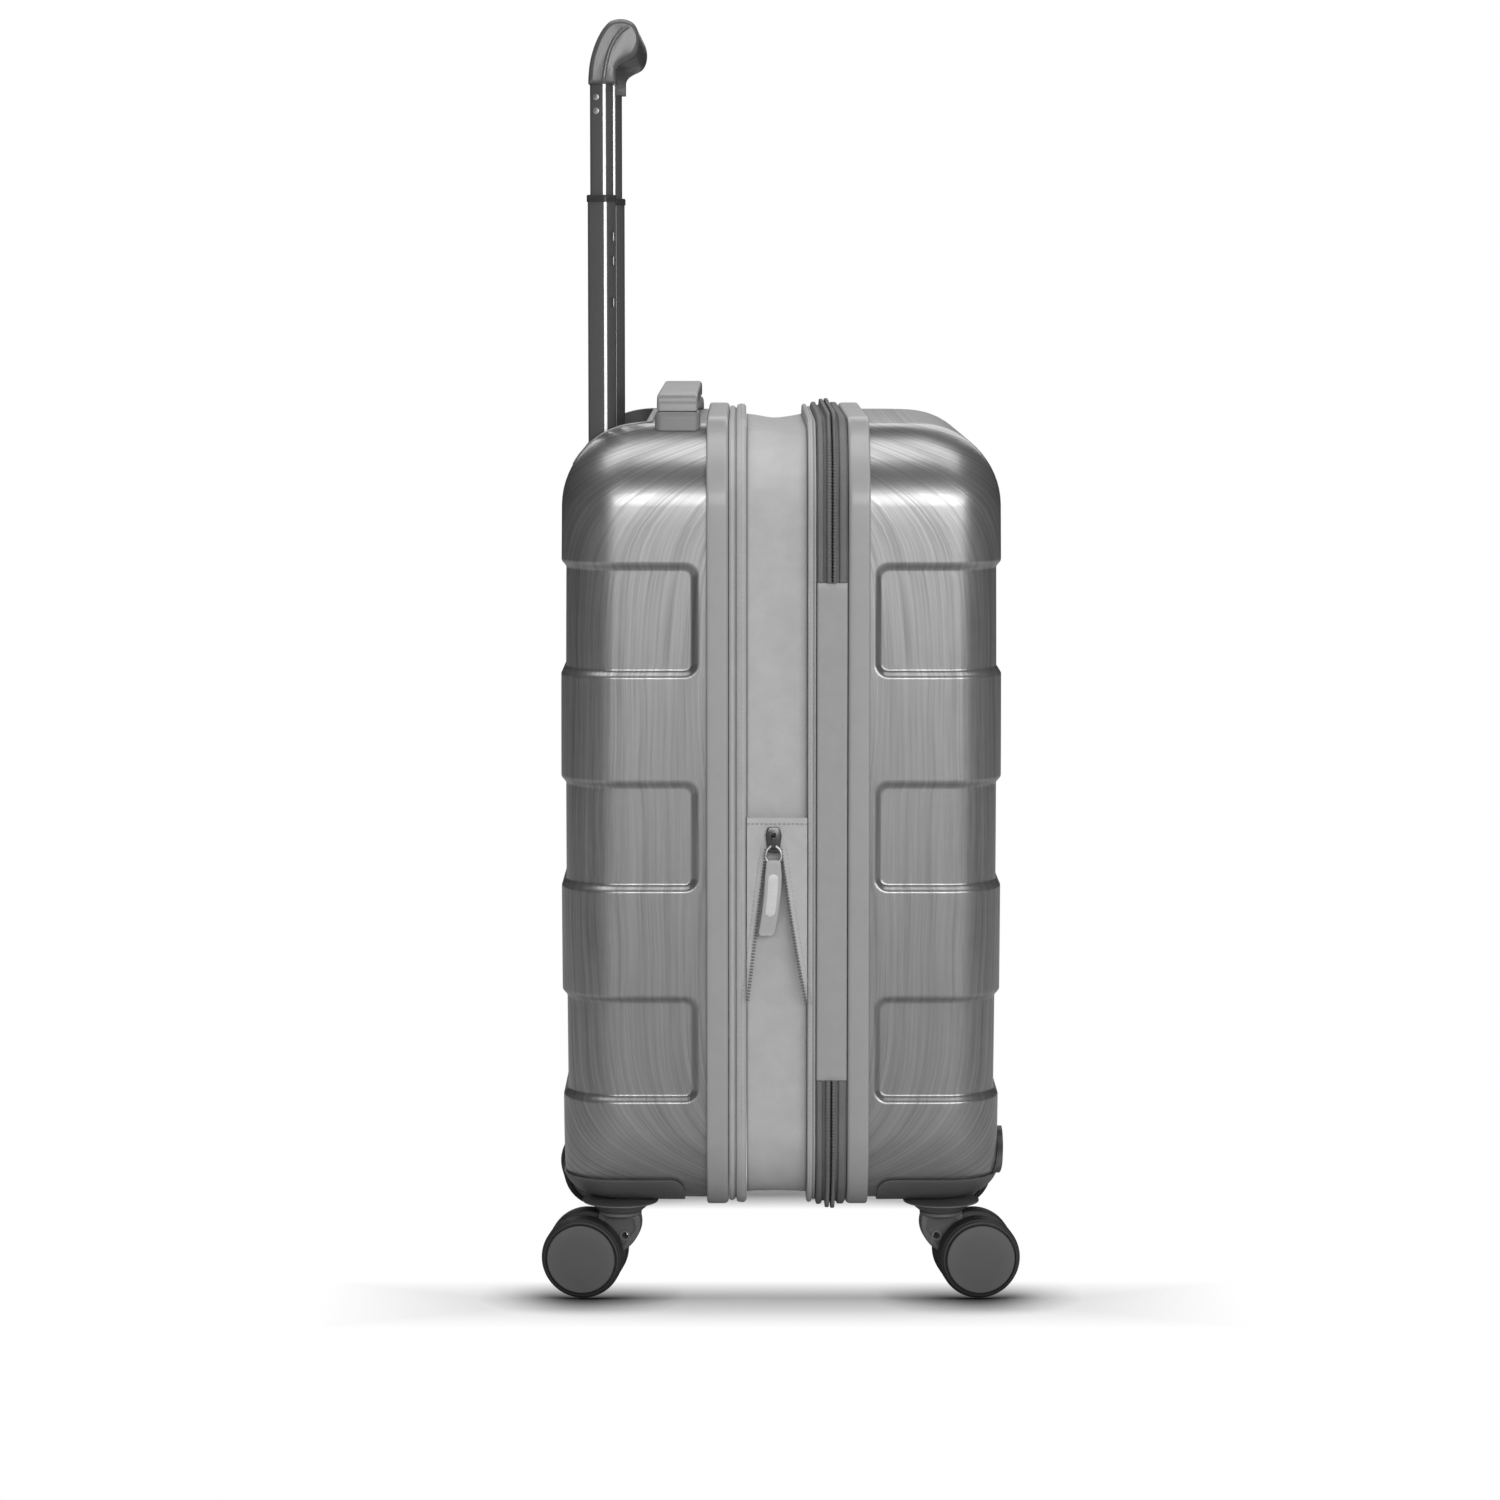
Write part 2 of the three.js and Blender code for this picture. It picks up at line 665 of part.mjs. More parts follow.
add('release_button', prism(
  roundedRect(gripButton.width, gripButton.length, 3),
  6 - clearance - gripButton.travel + gripButton.proud,
  { bevel: 0.6, steps: 1, curve: 2 },
).translate(gripButtonX, 0, gripTop - 6 + clearance + gripButton.travel), finishes.darkPlastic);

// ---------------------------------------------------------------- carry handle

// A housing at each end of the handle, seated on the shell, whose top plate keeps the leg's foot inside.
function handleBase(end) {
  const plateBottom = shellTop + handle.baseHeight - handle.plate;
  const low = shellTop - body.edgeRadius;
  const outline = roundedRect(handle.baseWidth, handle.baseLength, 4);
  const outside = prism(outline, shellTop + handle.baseHeight - low, { curve: 2 })
    .translate(handle.x, handleEndY(end), low);
  const around = 2 * clearance;
  return cut(
    outside,
    facingRear(overShell(0, body.rearFace, clearance)),
    handlePost(end, handle.baseWidth - 4, handle.baseLength - 4, low, plateBottom),
    handlePost(end, handle.legWidth + around, handle.legLength + around, low, shellTop + 20),
  );
}
add('handle_base_left', handleBase(-1), finishes.darkPlastic);
add('handle_base_right', handleBase(1), finishes.darkPlastic);

// The arched bar with a leg at each end.
function handleGrip() {
  const reach = handleReach - 1;
  const underside = shellTop + handle.baseHeight + clearance;
  const top = shellTop + handle.rise;
  const arch = top - handle.barThick;
  const shape = new THREE.Shape();
  shape.moveTo(-reach, underside);
  shape.lineTo(-reach, underside + 6);
  shape.bezierCurveTo(-reach + 1, top - 3, -reach + 6, top, -reach + 18, top);
  shape.lineTo(reach - 18, top);
  shape.bezierCurveTo(reach - 6, top, reach - 1, top - 3, reach, underside + 6);
  shape.lineTo(reach, underside);
  shape.lineTo(reach - 24, underside);
  shape.bezierCurveTo(reach - 30, underside, reach - 30, arch, reach - 38, arch);
  shape.lineTo(-reach + 38, arch);
  shape.bezierCurveTo(-reach + 30, arch, -reach + 30, underside, -reach + 24, underside);
  const bar = prism(shape, handle.barWidth, { bevel: 1.4, steps: 1, curve: 3 });
  const across = lyingAlongX(bar).translate(handle.x - handle.barWidth / 2, 0, 0);
  const footBottom = shellTop + 2 * clearance;
  const legs = handleEnds.flatMap((end) => [
    handlePost(end, handle.legWidth, handle.legLength, footBottom, underside + 2),
    handlePost(end, handle.legWidth + 5, handle.legLength + 5, footBottom, footBottom + handle.foot),
  ]);
  return join(across, ...legs);
}
add('carry_handle', handleGrip(), finishes.handlePlastic);

// ---------------------------------------------------------------- lid

const lockBox = (growth, from, to) => lyingAlongY(
  prism(
    roundedRect(lock.width + 2 * growth, lock.height + 2 * growth, 4 + growth),
    to - from,
    { curve: 2 },
  ),
).translate(lock.x, to, lock.z);
const lockFace = halfWidth + lock.proud;
const lockBack = halfWidth - lock.sink;

add('front_shell', cut(
  shellHalf(frontEdge, body.frontFace, panels.frontEnd), lockBox(clearance, lockBack - 4, lockFace + 5),
), finishes.shell);

function lockBody() {
  const dialSlot = block(
    [
      lock.x - lock.dialRadius - 0.5, lockFace - 5 - lock.dialRadius - 0.6,
      lock.z - lock.dialDrop - 1.5 * lock.dialPitch,
    ],
    [lock.x + lock.dialRadius + 0.5, lockFace + 5, lock.z - lock.dialDrop + 1.5 * lock.dialPitch],
  );
  const buttonSlot = block(
    [lock.x - 5.3, lockFace - 5, lock.buttonZ - 3.1], [lock.x + 5.3, lockFace + 5, lock.buttonZ + 3.1],
  );
  return cut(lockBox(0, lockBack, lockFace), dialSlot, buttonSlot);
}
add('lock_case', lockBody(), finishes.darkPlastic);
const dialCentreY = lockFace + 1.2 - lock.dialRadius;
for (let i = 0; i < 3; i++) {
  const z = lock.z - lock.dialDrop + (i - 1) * lock.dialPitch;
  add(`lock_dial_${i + 1}`, rod(lock.dialRadius, -lock.dialWidth / 2, lock.dialWidth / 2, 16)
    .translate(lock.x, dialCentreY, z), finishes.metal);
}
add('lock_button', lyingAlongY(prism(roundedRect(10, 5.6, 1.5), 3.9, { curve: 2 }))
  .translate(lock.x, lockFace + 1.5, lock.buttonZ), finishes.metal);

// ---------------------------------------------------------------- zipper sliders and pull tabs

const sliderBottom = slider.z - slider.height / 2;
const tunnel = { from: 2.6, to: 6.4 }; // the bridge's opening, above the slider's lower end
const ringCentre = {
  y: -(sliderBack + slider.plate + sliderFace - slider.strap) / 2,
  z: sliderBottom + (tunnel.from + tunnel.to) / 2 - pullRing.radius,
};

function expansionSlider() {
  const shape = roundedRect(slider.width, slider.height, 3);
  const plate = lyingAlongY(prism(shape, slider.plate, { curve: 2 }))
    .translate(slider.x, -sliderBack, slider.z);
  const half = slider.bridge / 2;
  const plateFace = -sliderBack - slider.plate;
  const bridge = block(
    [slider.x - half, -sliderFace, sliderBottom + tunnel.from - slider.strap],
    [slider.x + half, plateFace + 0.5, sliderBottom + tunnel.to + slider.strap],
  );
  const opening = block(
    [slider.x - half - 1, -sliderFace + slider.strap, sliderBottom + tunnel.from],
    [slider.x + half + 1, plateFace, sliderBottom + tunnel.to],
  );
  return join(plate, cut(bridge, opening));
}
add('expansion_slider', expansionSlider(), finishes.darkMetal);

const ringTorus = (growth) => new THREE.TorusGeometry(pullRing.radius, pullRing.wire + growth, 6, 18)
  .rotateX(Math.PI / 2).translate(slider.x, ringCentre.y, ringCentre.z);
add('pull_ring', ringTorus(0), finishes.metal);

function pullTabSolid() {
  const top = ringCentre.z - pullRing.radius + 2.4;
  const shape = roundedRect(pullTab.width, pullTab.length, 2);
  const tab = lyingAlongY(prism(shape, pullTab.thick, { curve: 2 }))
    .translate(slider.x, ringCentre.y + pullTab.thick / 2, top - pullTab.length / 2);
  return cut(tab, ringTorus(clearance));
}
add('pull_tab', pullTabSolid(), finishes.rubber);

const tapeThick = 1.2;
const tapeLegs = 93; // how far below the slider the two ends of the tape reach the flanges
// The two ends of the expansion tape, which part below the slider like an upturned V.
function expansionTape() {
  const seam = slider.z + slider.height / 2;
  const foot = sliderBottom - tapeLegs;
  const shape = new THREE.Shape();
  const [left, right] = [-seams.gussetRear + clearance, seams.gussetFront - clearance];
  shape.moveTo(left, seam + 4);
  shape.lineTo(left, foot);
  shape.bezierCurveTo(slider.x - 12, foot + 34, slider.x - 8, foot + 64, slider.x - 4.5, sliderBottom);
  shape.lineTo(slider.x + 4.5, sliderBottom);
  shape.bezierCurveTo(slider.x + 8, foot + 64, slider.x + 12, foot + 34, right, foot);
  shape.lineTo(right, seam + 4);
  const face = sliderBack - clearance - 0.1;
  return lyingAlongY(prism(shape, tapeThick, { curve: 6 })).translate(0, tapeThick - face, 0);
}
add('expansion_tape', expansionTape(), finishes.fabric);

const coilFace = halfWidth + zipper.coil;
const mainSliderThick = sliderFace - coilFace - clearance;
for (const [name, way] of [['upper', 1], ['lower', -1]]) {
  const z = mainSlider.z + (way * mainSlider.gap) / 2;
  const plate = roundedRect(mainSlider.width, mainSlider.height, 3);
  const pull = roundedRect(mainSlider.pullLength, mainSlider.pullWidth, 3);
  const slide = lyingAlongY(prism(plate, mainSliderThick, { curve: 2 }))
    .translate(zipperMiddle, sliderFace, z);
  const tongue = lyingAlongY(prism(pull, 1.6, { curve: 2 }))
    .translate(zipperMiddle + mainSlider.pullLength / 2 - 2, sliderFace - 0.2, z);
  add(`main_slider_${name}`, join(slide, tongue), finishes.darkMetal);
}

// ---------------------------------------------------------------- casters

// The housing that caps one corner of the case, with the boss that the fork turns under.
function cornerCap(way, side) {
  const face = way < 0 ? body.rearFace : body.frontFace;
  const outside = overShell(0, face, cap.proud);
  const inside = overShell(0, face, clearance);
  const skin = cut(outside, inside);
  const spare = 2 * cap.round; // how far the cutting shapes run past the corner
  const depth = face + spare - cap.front;
  const span = cap.span + spare;
  const height = cap.top - body.ground + 2 * spare;
  const middle = [cap.front + depth / 2, side * (halfWidth - cap.span + span / 2), cap.top - height / 2];
  const fromSide = lyingAlongY(prism(roundedRect(depth, height, cap.round), span, { curve: 2 }))
    .translate(middle[0], middle[1] + span / 2, middle[2]);
  const fromFront = lyingAlongX(prism(roundedRect(span, height, cap.round), depth, { curve: 2 }))
    .translate(cap.front, middle[1], middle[2]);
  const wrap = common(common(skin, fromSide), fromFront);
  const under = body.ground - cap.proud;
  const { bossBottom, bossFoot, bossTop } = caster;
  const boss = revolve([
    [0, bossBottom], [bossFoot, bossBottom], [bossFoot + 1.6, bossBottom + 1.2],
    [bossTop - 2.4, under - 2.6], [bossTop, under - 1], [bossTop + 3, under + 0.4], [0, under + 0.4],
  ], 16).rotateX(Math.PI / 2).translate(caster.x, side * casterY, 0);
  const bore = rod(caster.stemRadius + clearance, 0, under, 10).translate(caster.x, side * casterY, 0);
  const whole = cut(join(wrap, boss), bore, inside);
  return way < 0 ? whole.rotateZ(Math.PI) : whole;
}

function fork() {
  const half = caster.forkThick / 2;
  const axle = [caster.trail, caster.wheelRadius];
  const shape = new THREE.Shape();
  shape.moveTo(-12.5, caster.discBottom + 1);
  shape.bezierCurveTo(-16, caster.discBottom - 9, -10, caster.discBottom - 20, 1, caster.discBottom - 25);
  shape.bezierCurveTo(8, axle[1] - 6, 12, axle[1] - 9, axle[0], axle[1] - 8);
  shape.absarc(axle[0], axle[1], 8, -Math.PI / 2, Math.PI / 2);
  shape.bezierCurveTo(axle[0] - 5, axle[1] + 12, 14, caster.discBottom - 6, 13, caster.discBottom + 1);
  const web = lyingAlongY(prism(shape, 2 * half, { curve: 3 })).translate(0, half, 0);
  const disc = rod(caster.bossFoot, caster.discBottom, caster.bossBottom - clearance, 16);
  const stem = rod(caster.stemRadius, caster.bossBottom - 1, body.ground - cap.proud - clearance, 10);
  const axleBore = lyingAlongY(rod(caster.axleRadius + clearance, -20, 20, 10))
    .translate(axle[0], 0, axle[1]);
  const lightening = lyingAlongY(rod(2, -20, 20, 6)).translate(-3.5, 0, caster.discBottom - 13);
  return cut(join(web, disc, stem), axleBore, lightening);
}

function wheelCentre(geometry) {
  return geometry.translate(caster.trail, 0, caster.wheelRadius);
}

// One wheel of a pair, its tread moulded on and its outer face closed by a cap.
function wheel(side) {
  const { wheelInner: a, wheelOuter: b, capRadius: c, wheelRadius: r } = caster;
  const shoulder = b - 2.1;
  const bore = caster.axleRadius + clearance;
  const profile = [
    [0, b - 5], [bore, b - 5], [bore, a], [r - 1.2, a], [r, a + 2.5],
    [r, shoulder - 2.5], [r - 1.2, shoulder], [c, shoulder], [c, b], [0, b],
  ];
  return wheelCentre(revolve(profile, 16).rotateZ(side < 0 ? Math.PI : 0));
}

const ways = [['rear', -1], ['front', 1]];
const sides = [['left', -1], ['right', 1]];
for (const [wayName, way] of ways) {
  for (const [sideName, side] of sides) {
    const place = `${wayName}_${sideName}`;
    add(`caster_housing_${place}`, cornerCap(way, way < 0 ? -side : side), finishes.darkPlastic);
    const stand = new THREE.Group();
    stand.position.set(way * caster.x, side * casterY, 0);
    const heading = way < 0 ? Math.PI : 0;
    stand.rotation.z = heading - way * side * THREE.MathUtils.degToRad(caster.turn);
    suitcase.add(stand);
    add(`caster_fork_${place}`, fork(), finishes.darkPlastic, stand);
    const reach = caster.wheelOuter - 5 - clearance;
    const axle = lyingAlongY(rod(caster.axleRadius, -reach, reach, 10));
    add(`axle_${place}`, wheelCentre(axle), finishes.metal, stand);
    add(`wheel_${place}_outer`, wheel(way * side), finishes.hub, stand);
    add(`wheel_${place}_inner`, wheel(-way * side), finishes.hub, stand);
  }
}

// D-shaped bumpers low on the lid, above its casters.
for (const [sideName, side] of sides) {
  const shape = new THREE.Shape();
  shape.moveTo(-guard.width / 2, 0);
  shape.lineTo(guard.width / 2, 0);
  const [half, high] = [guard.width / 2, guard.height];
  shape.bezierCurveTo(half, high * 0.7, half / 2, high, 0, high);
  shape.bezierCurveTo(-half / 2, high, -half, high * 0.7, -half, 0);
  const pad = lyingAlongX(prism(shape, 30, { curve: 4 }))
    .translate(body.frontFace - 20, side * (halfWidth - guard.inset), guard.bottom + clearance + 1);
  const layer = cut(overShell(0, body.frontFace, guard.proud), overShell(0, body.frontFace, clearance));
  add(`front_bumper_${sideName}`, common(layer, pad), finishes.darkPlastic);
}

// ---------------------------------------------------------------- inside

const liningInset = body.wall + panels.depth + lining.gap;

// A cloth tub whose skin runs round whatever stands inside the shell.
function liningTub(rim, face, turn, obstacle) {
  const skin = (cutBack, inset) => tub({
    rim: rim - cutBack,
    face: face + liningInset,
    inset,
    edgeArc: innerSteps,
  });
  const outside = cut(turn(skin(0, liningInset)), obstacle(0));
  const inside = cut(turn(skin(overlapCut, liningInset + lining.thick)), obstacle(lining.thick));
  return cut(outside, inside);
}

const roundPocket = (margin) => pocketPrism(
  pocket.wall + clearance + margin, pocket.floor - pocket.floorThick - clearance - margin, shellTop,
);
const roundLock = (margin) => lockBox(1 + margin, lockBack - 1 - margin, lockFace);
add('rear_lining', liningTub(
  seams.rearFlange, baseFront - lining.gap - body.crown, facingRear, roundPocket,
), finishes.liningCloth);
add('lid_lining', liningTub(
  seams.frontBand, body.frontFace - liningInset, (half) => half, roundLock,
), finishes.liningCloth);

export default suitcase;
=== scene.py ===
"""Dresses an expandable hard-shell suitcase on four twin-wheel casters, and sets up its studio.

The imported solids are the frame. Each class below is one sub-assembly: its fields are sizes in
millimetres, its methods make the meshes and dress them. The frame has +Z up and its origin on
the floor under the middle of the case; X runs through the depth and Y across the width.
"""

from __future__ import annotations

import json
import logging
import math
from dataclasses import dataclass, field
from enum import Enum
from typing import Callable, Sequence

import bmesh
import bpy
import numpy as np
from mathutils import Matrix, Vector, noise

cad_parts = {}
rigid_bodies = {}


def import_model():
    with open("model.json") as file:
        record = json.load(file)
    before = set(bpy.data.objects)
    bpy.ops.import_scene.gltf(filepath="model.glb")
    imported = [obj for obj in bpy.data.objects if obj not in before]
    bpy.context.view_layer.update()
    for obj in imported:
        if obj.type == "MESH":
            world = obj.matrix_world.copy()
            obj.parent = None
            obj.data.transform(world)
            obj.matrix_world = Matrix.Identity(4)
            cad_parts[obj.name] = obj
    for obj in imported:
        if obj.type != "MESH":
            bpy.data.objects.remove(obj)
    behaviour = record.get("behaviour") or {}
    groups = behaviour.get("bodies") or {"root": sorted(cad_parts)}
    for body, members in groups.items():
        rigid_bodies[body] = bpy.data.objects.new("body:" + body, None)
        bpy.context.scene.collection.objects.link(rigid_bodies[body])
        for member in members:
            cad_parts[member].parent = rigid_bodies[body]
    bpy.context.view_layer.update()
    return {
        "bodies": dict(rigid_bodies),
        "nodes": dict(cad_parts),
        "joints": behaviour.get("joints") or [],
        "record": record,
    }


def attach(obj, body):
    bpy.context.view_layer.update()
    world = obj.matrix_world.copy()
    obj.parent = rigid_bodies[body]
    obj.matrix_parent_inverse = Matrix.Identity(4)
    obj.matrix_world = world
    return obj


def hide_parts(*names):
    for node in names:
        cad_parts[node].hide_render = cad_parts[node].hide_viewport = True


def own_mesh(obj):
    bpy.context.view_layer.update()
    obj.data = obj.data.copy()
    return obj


LOG = logging.getLogger("suitcase")
MM = 0.001
RING_START = 306.0  # height on the hinge side where every ring round the case begins
Object = bpy.types.Object
Material = bpy.types.Material
Tree = bpy.types.NodeTree
Node = bpy.types.Node
Socket = bpy.types.NodeSocket
Pair = tuple[float, float]
Point = tuple[float, float, float]
Outline = list[Pair]


class Side(Enum):
    """The two halves of the case, by the sign of their X."""

    REAR = -1
    FRONT = 1


class Hand(Enum):
    """Left and right, by the sign of their Y."""

    LEFT = -1
    RIGHT = 1


# ------------------------------------------------------------------ sizes shared by all pieces


@dataclass(frozen=True)
class Body:
    """The two shells and the seams between them.

    Fields:
        width: Between the shells' sides, across the case.
        height: From the shells' bottom to their top.
        ground: Height of the shells' bottom above the floor.
        face: Distance of a shell's big face from the middle plane.
        edge_radius: Round of the top, and of the sides' lower ends.
        lower_radius: Round of a big face's lower edge.
        corner_radius: Round of a big face's upright edges.
        crown: How far a big face bulges at half its height.
        wall: Thickness of the shells.
        clearance: Gap to the pieces that sit on the shells.
        rear_edge: Distance of the rear shell's open edge from the middle plane.
        front_edge: The same for the front shell.
    """

    width: float = 348.0
    height: float = 490.0
    ground: float = 61.0
    face: float = 136.0
    edge_radius: float = 50.0
    lower_radius: float = 25.0
    corner_radius: float = 35.0
    crown: float = 1.6
    wall: float = 2.5
    clearance: float = 0.3
    rear_edge: float = 40.6
    front_edge: float = 48.6

    @property
    def top(self) -> float:
        """Height of the shells' top."""
        return self.ground + self.height

    @property
    def half(self) -> float:
        """Half of the width."""
        return self.width / 2


@dataclass(frozen=True)
class Seams:
    """Where the strips between the shells begin and end, along X."""

    rear_rim: float = -46.5
    rear_flange: float = -32.9
    gusset_rear: float = -21.7
    gusset_front: float = 16.1
    zipper_rear: float = 21.7
    zipper_front: float = 40.6
    front_band: float = 40.9
    front_rim: float = 54.5

    @property
    def zipper_middle(self) -> float:
        """Where the two halves of the main zipper meet."""
        return (self.zipper_rear + self.zipper_front) / 2


@dataclass(frozen=True)
class Panels:
    """The sunk panels of both shells.

    Fields:
        spans: Lower and upper end of each panel, in Z.
        depth: How deep they are sunk.
        bevel: Width of their sloped border.
        round: Radius of their corners.
        rear_end: Where they end on the rear shell's sides, from the middle plane.
        front_end: The same for the front shell.
    """

    spans: tuple[tuple[float, float], ...] = ((129.6, 197.5), (262.2, 332.0), (395.6, 467.2))
    depth: float = 3.0
    bevel: float = 5.0
    round: float = 9.0
    rear_end: float = 51.0
    front_end: float = 57.0

    def inside(self, z: float) -> float:
        """How far a height lies inside the nearest panel, negative outside."""
        return max(min(z - low, high - z) for low, high in self.spans)


BODY = Body()
SEAMS = Seams()
PANELS = Panels()


# ------------------------------------------------------------------ mesh tools


def smooth_step(t: float) -> float:
    """An eased 0 to 1."""
    s = min(1.0, max(0.0, t))
    return s * s * (3 - 2 * s)


def rounded(points: Sequence[Pair], radius: float | Sequence[float], steps: int = 4) -> Outline:
    """Rounds the corners of a closed outline.

    Args:
        points: The outline's corners.
        radius: One radius, or one for each corner.
        steps: Facets in each corner.

    Returns:
        The rounded outline's points.
    """
    count = len(points)
    radii = [radius] * count if isinstance(radius, (int, float)) else list(radius)
    out: Outline = []
    for i, corner in enumerate(points):
        a, b, c = (Vector(points[i - 1]), Vector(corner), Vector(points[(i + 1) % count]))
        before, after = (a - b), (c - b)
        if radii[i] <= 0 or before.length < 1e-6 or after.length < 1e-6:
            out.append(corner)
            continue
        half = max(0.05, before.angle(after) / 2)
        reach = min(radii[i] / math.tan(half), before.length * 0.49, after.length * 0.49)
        p, q = b + before.normalized() * reach, b + after.normalized() * reach
        for k in range(steps + 1):
            t = k / steps
            point = p * (1 - t) ** 2 + b * 2 * t * (1 - t) + q * t**2
            out.append((point.x, point.y))
    return out


def rounded_box(width: float, height: float, radius: float, steps: int = 5) -> Outline:
    """A rectangle with true quarter-round corners, centred on the origin."""
    w, h = width / 2 - radius, height / 2 - radius
    out: Outline = []
    for x, y, start in ((w, h, 0), (-w, h, 90), (-w, -h, 180), (w, -h, 270)):
        for k in range(steps + 1):
            a = math.radians(start + 90 * k / steps)
            out.append((x + radius * math.cos(a), y + radius * math.sin(a)))
    return out


def bezier(start: tuple, a: tuple, b: tuple, end: tuple, steps: int = 12) -> Outline:
    """Points of a cubic curve, without its first point."""
    p = [np.array(v, float) for v in (start, a, b, end)]
    out: Outline = []
    for k in range(1, steps + 1):
        t = k / steps
        q = p[0] * (1 - t) ** 3 + 3 * p[1] * t * (1 - t) ** 2 + 3 * p[2] * t * t * (1 - t) + p[3] * t**3
        out.append((float(q[0]), float(q[1])))
    return out


@dataclass
class Shape:
    """Points in millimetres and the faces between them, with an optional UV for each point."""

    points: list[Point] = field(default_factory=list)
    faces: list[tuple[int, ...]] = field(default_factory=list)
    uv: list[Pair] = field(default_factory=list)

    def moved(self, x: float = 0, y: float = 0, z: float = 0, turn: float = 0) -> "Shape":
        """This shape turned about Z by degrees and then moved."""
        c, s = math.cos(math.radians(turn)), math.sin(math.radians(turn))
        points = [(p[0] * c - p[1] * s + x, p[0] * s + p[1] * c + y, p[2] + z) for p in self.points]
        return Shape(points, list(self.faces), list(self.uv))

    def mapped(self, change: Callable[[Point], Point]) -> "Shape":
        """This shape with each point changed."""
        return Shape([change(p) for p in self.points], list(self.faces), list(self.uv))

    def joined(self, *others: "Shape") -> "Shape":
        """One shape of this and the others."""
        points, faces, uv = list(self.points), list(self.faces), list(self.uv)
        for other in others:
            faces += [tuple(i + len(points) for i in f) for f in other.faces]
            points += other.points
            uv += other.uv
        return Shape(points, faces, uv)


def loft(rows: Sequence[Sequence[Point]], ring: bool = False, caps: bool = True) -> Shape:
    """Joins closed loops of equal length into a skin.

    Args:
        rows: The loops, in order.
        ring: Whether the last loop joins the first.
        caps: Whether the ends are closed.

    Returns:
        The skin.
    """
    count = len(rows[0])
    shape = Shape([p for row in rows for p in row])
    last = len(rows) if ring else len(rows) - 1
    for i in range(last):
        a, b = i * count, ((i + 1) % len(rows)) * count
        for j in range(count):
            k = (j + 1) % count
            shape.faces.append((a + j, a + k, b + k, b + j))
    if caps and not ring:
        end = (len(rows) - 1) * count
        shape.faces += [tuple(range(count))[::-1], tuple(end + i for i in range(count))]
    return shape


def prism(outline: Outline, low: float, high: float, bevel: float = 0.0, steps: int = 4) -> Shape:
    """An upright prism of an outline in XY, its rims rounded inside the outline.

    Args:
        outline: The outline at the prism's widest.
        low: Height of its bottom.
        high: Height of its top.
        bevel: Radius of the rounding, or 0 for sharp rims.
        steps: Facets of the rounding.
    """
    points = [Vector(p) for p in outline]
    count = len(points)
    area = sum(points[i].x * points[(i + 1) % count].y - points[(i + 1) % count].x * points[i].y
               for i in range(count))
    turn = 1.0 if area > 0 else -1.0
    inward: list[Vector] = []
    for i in range(count):
        edge = (points[(i + 1) % count] - points[i]).normalized() + (points[i] - points[i - 1]).normalized()
        edge = edge.normalized() if edge.length > 1e-9 else Vector((1, 0))
        inward.append(Vector((-edge.y, edge.x)) * turn)

    def row(inset: float, z: float) -> list[Point]:
        """The outline drawn in by an inset, at a height."""
        return [(p.x + n.x * inset, p.y + n.y * inset, z) for p, n in zip(points, inward)]

    if bevel <= 0:
        return loft([row(0, low), row(0, high)])
    angles = [math.pi / 2 * k / steps for k in range(steps + 1)]
    rows = [row(bevel * (1 - math.sin(a)), low + bevel * (1 - math.cos(a))) for a in angles]
    rows += [row(bevel * (1 - math.cos(a)), high - bevel * (1 - math.sin(a))) for a in angles]
    return loft(rows)


def along_x(shape: Shape) -> Shape:
    """An upright shape laid down: its X becomes Y, its Y becomes Z and its height X."""
    return shape.mapped(lambda p: (p[2], p[0], p[1]))


def along_y(shape: Shape) -> Shape:
    """An upright shape laid down: its Y becomes Z and its height -Y."""
    return shape.mapped(lambda p: (p[0], -p[2], p[1]))


def revolved(profile: Sequence[Pair], segments: int = 64) -> Shape:
    """A body turned about Z from a profile of radius and height, both ends on the axis or joined."""
    rows: list[list[Point]] = []
    for k in range(segments):
        a = 2 * math.pi * k / segments
        rows.append([(r * math.cos(a), r * math.sin(a), h) for r, h in profile])
    return loft(rows, ring=True)


def tube_along(path: Sequence[Point], radius: float, sides: int = 10, ring: bool = False) -> Shape:
    """A round cord along a path, its ends closed.

    Args:
        path: Points of the cord's middle.
        radius: Its radius.
        sides: Facets round it.
        ring: Whether the path closes on itself.
    """
    points = [Vector(p) for p in path]
    count = len(points)
    rows: list[list[Point]] = []
    up = Vector((0, 0, 1))
    for i, p in enumerate(points):
        ahead = points[(i + 1) % count] if ring or i + 1 < count else p
        behind = points[i - 1] if ring or i > 0 else p
        tangent = (ahead - behind).normalized()
        side = tangent.cross(up)
        side = side.normalized() if side.length > 1e-3 else Vector((1, 0, 0))
        over = side.cross(tangent).normalized()
        rows.append([tuple(p + (side * math.cos(t) + over * math.sin(t)) * radius)
                     for t in (2 * math.pi * k / sides for k in range(sides))])
    return loft(rows, ring=ring)


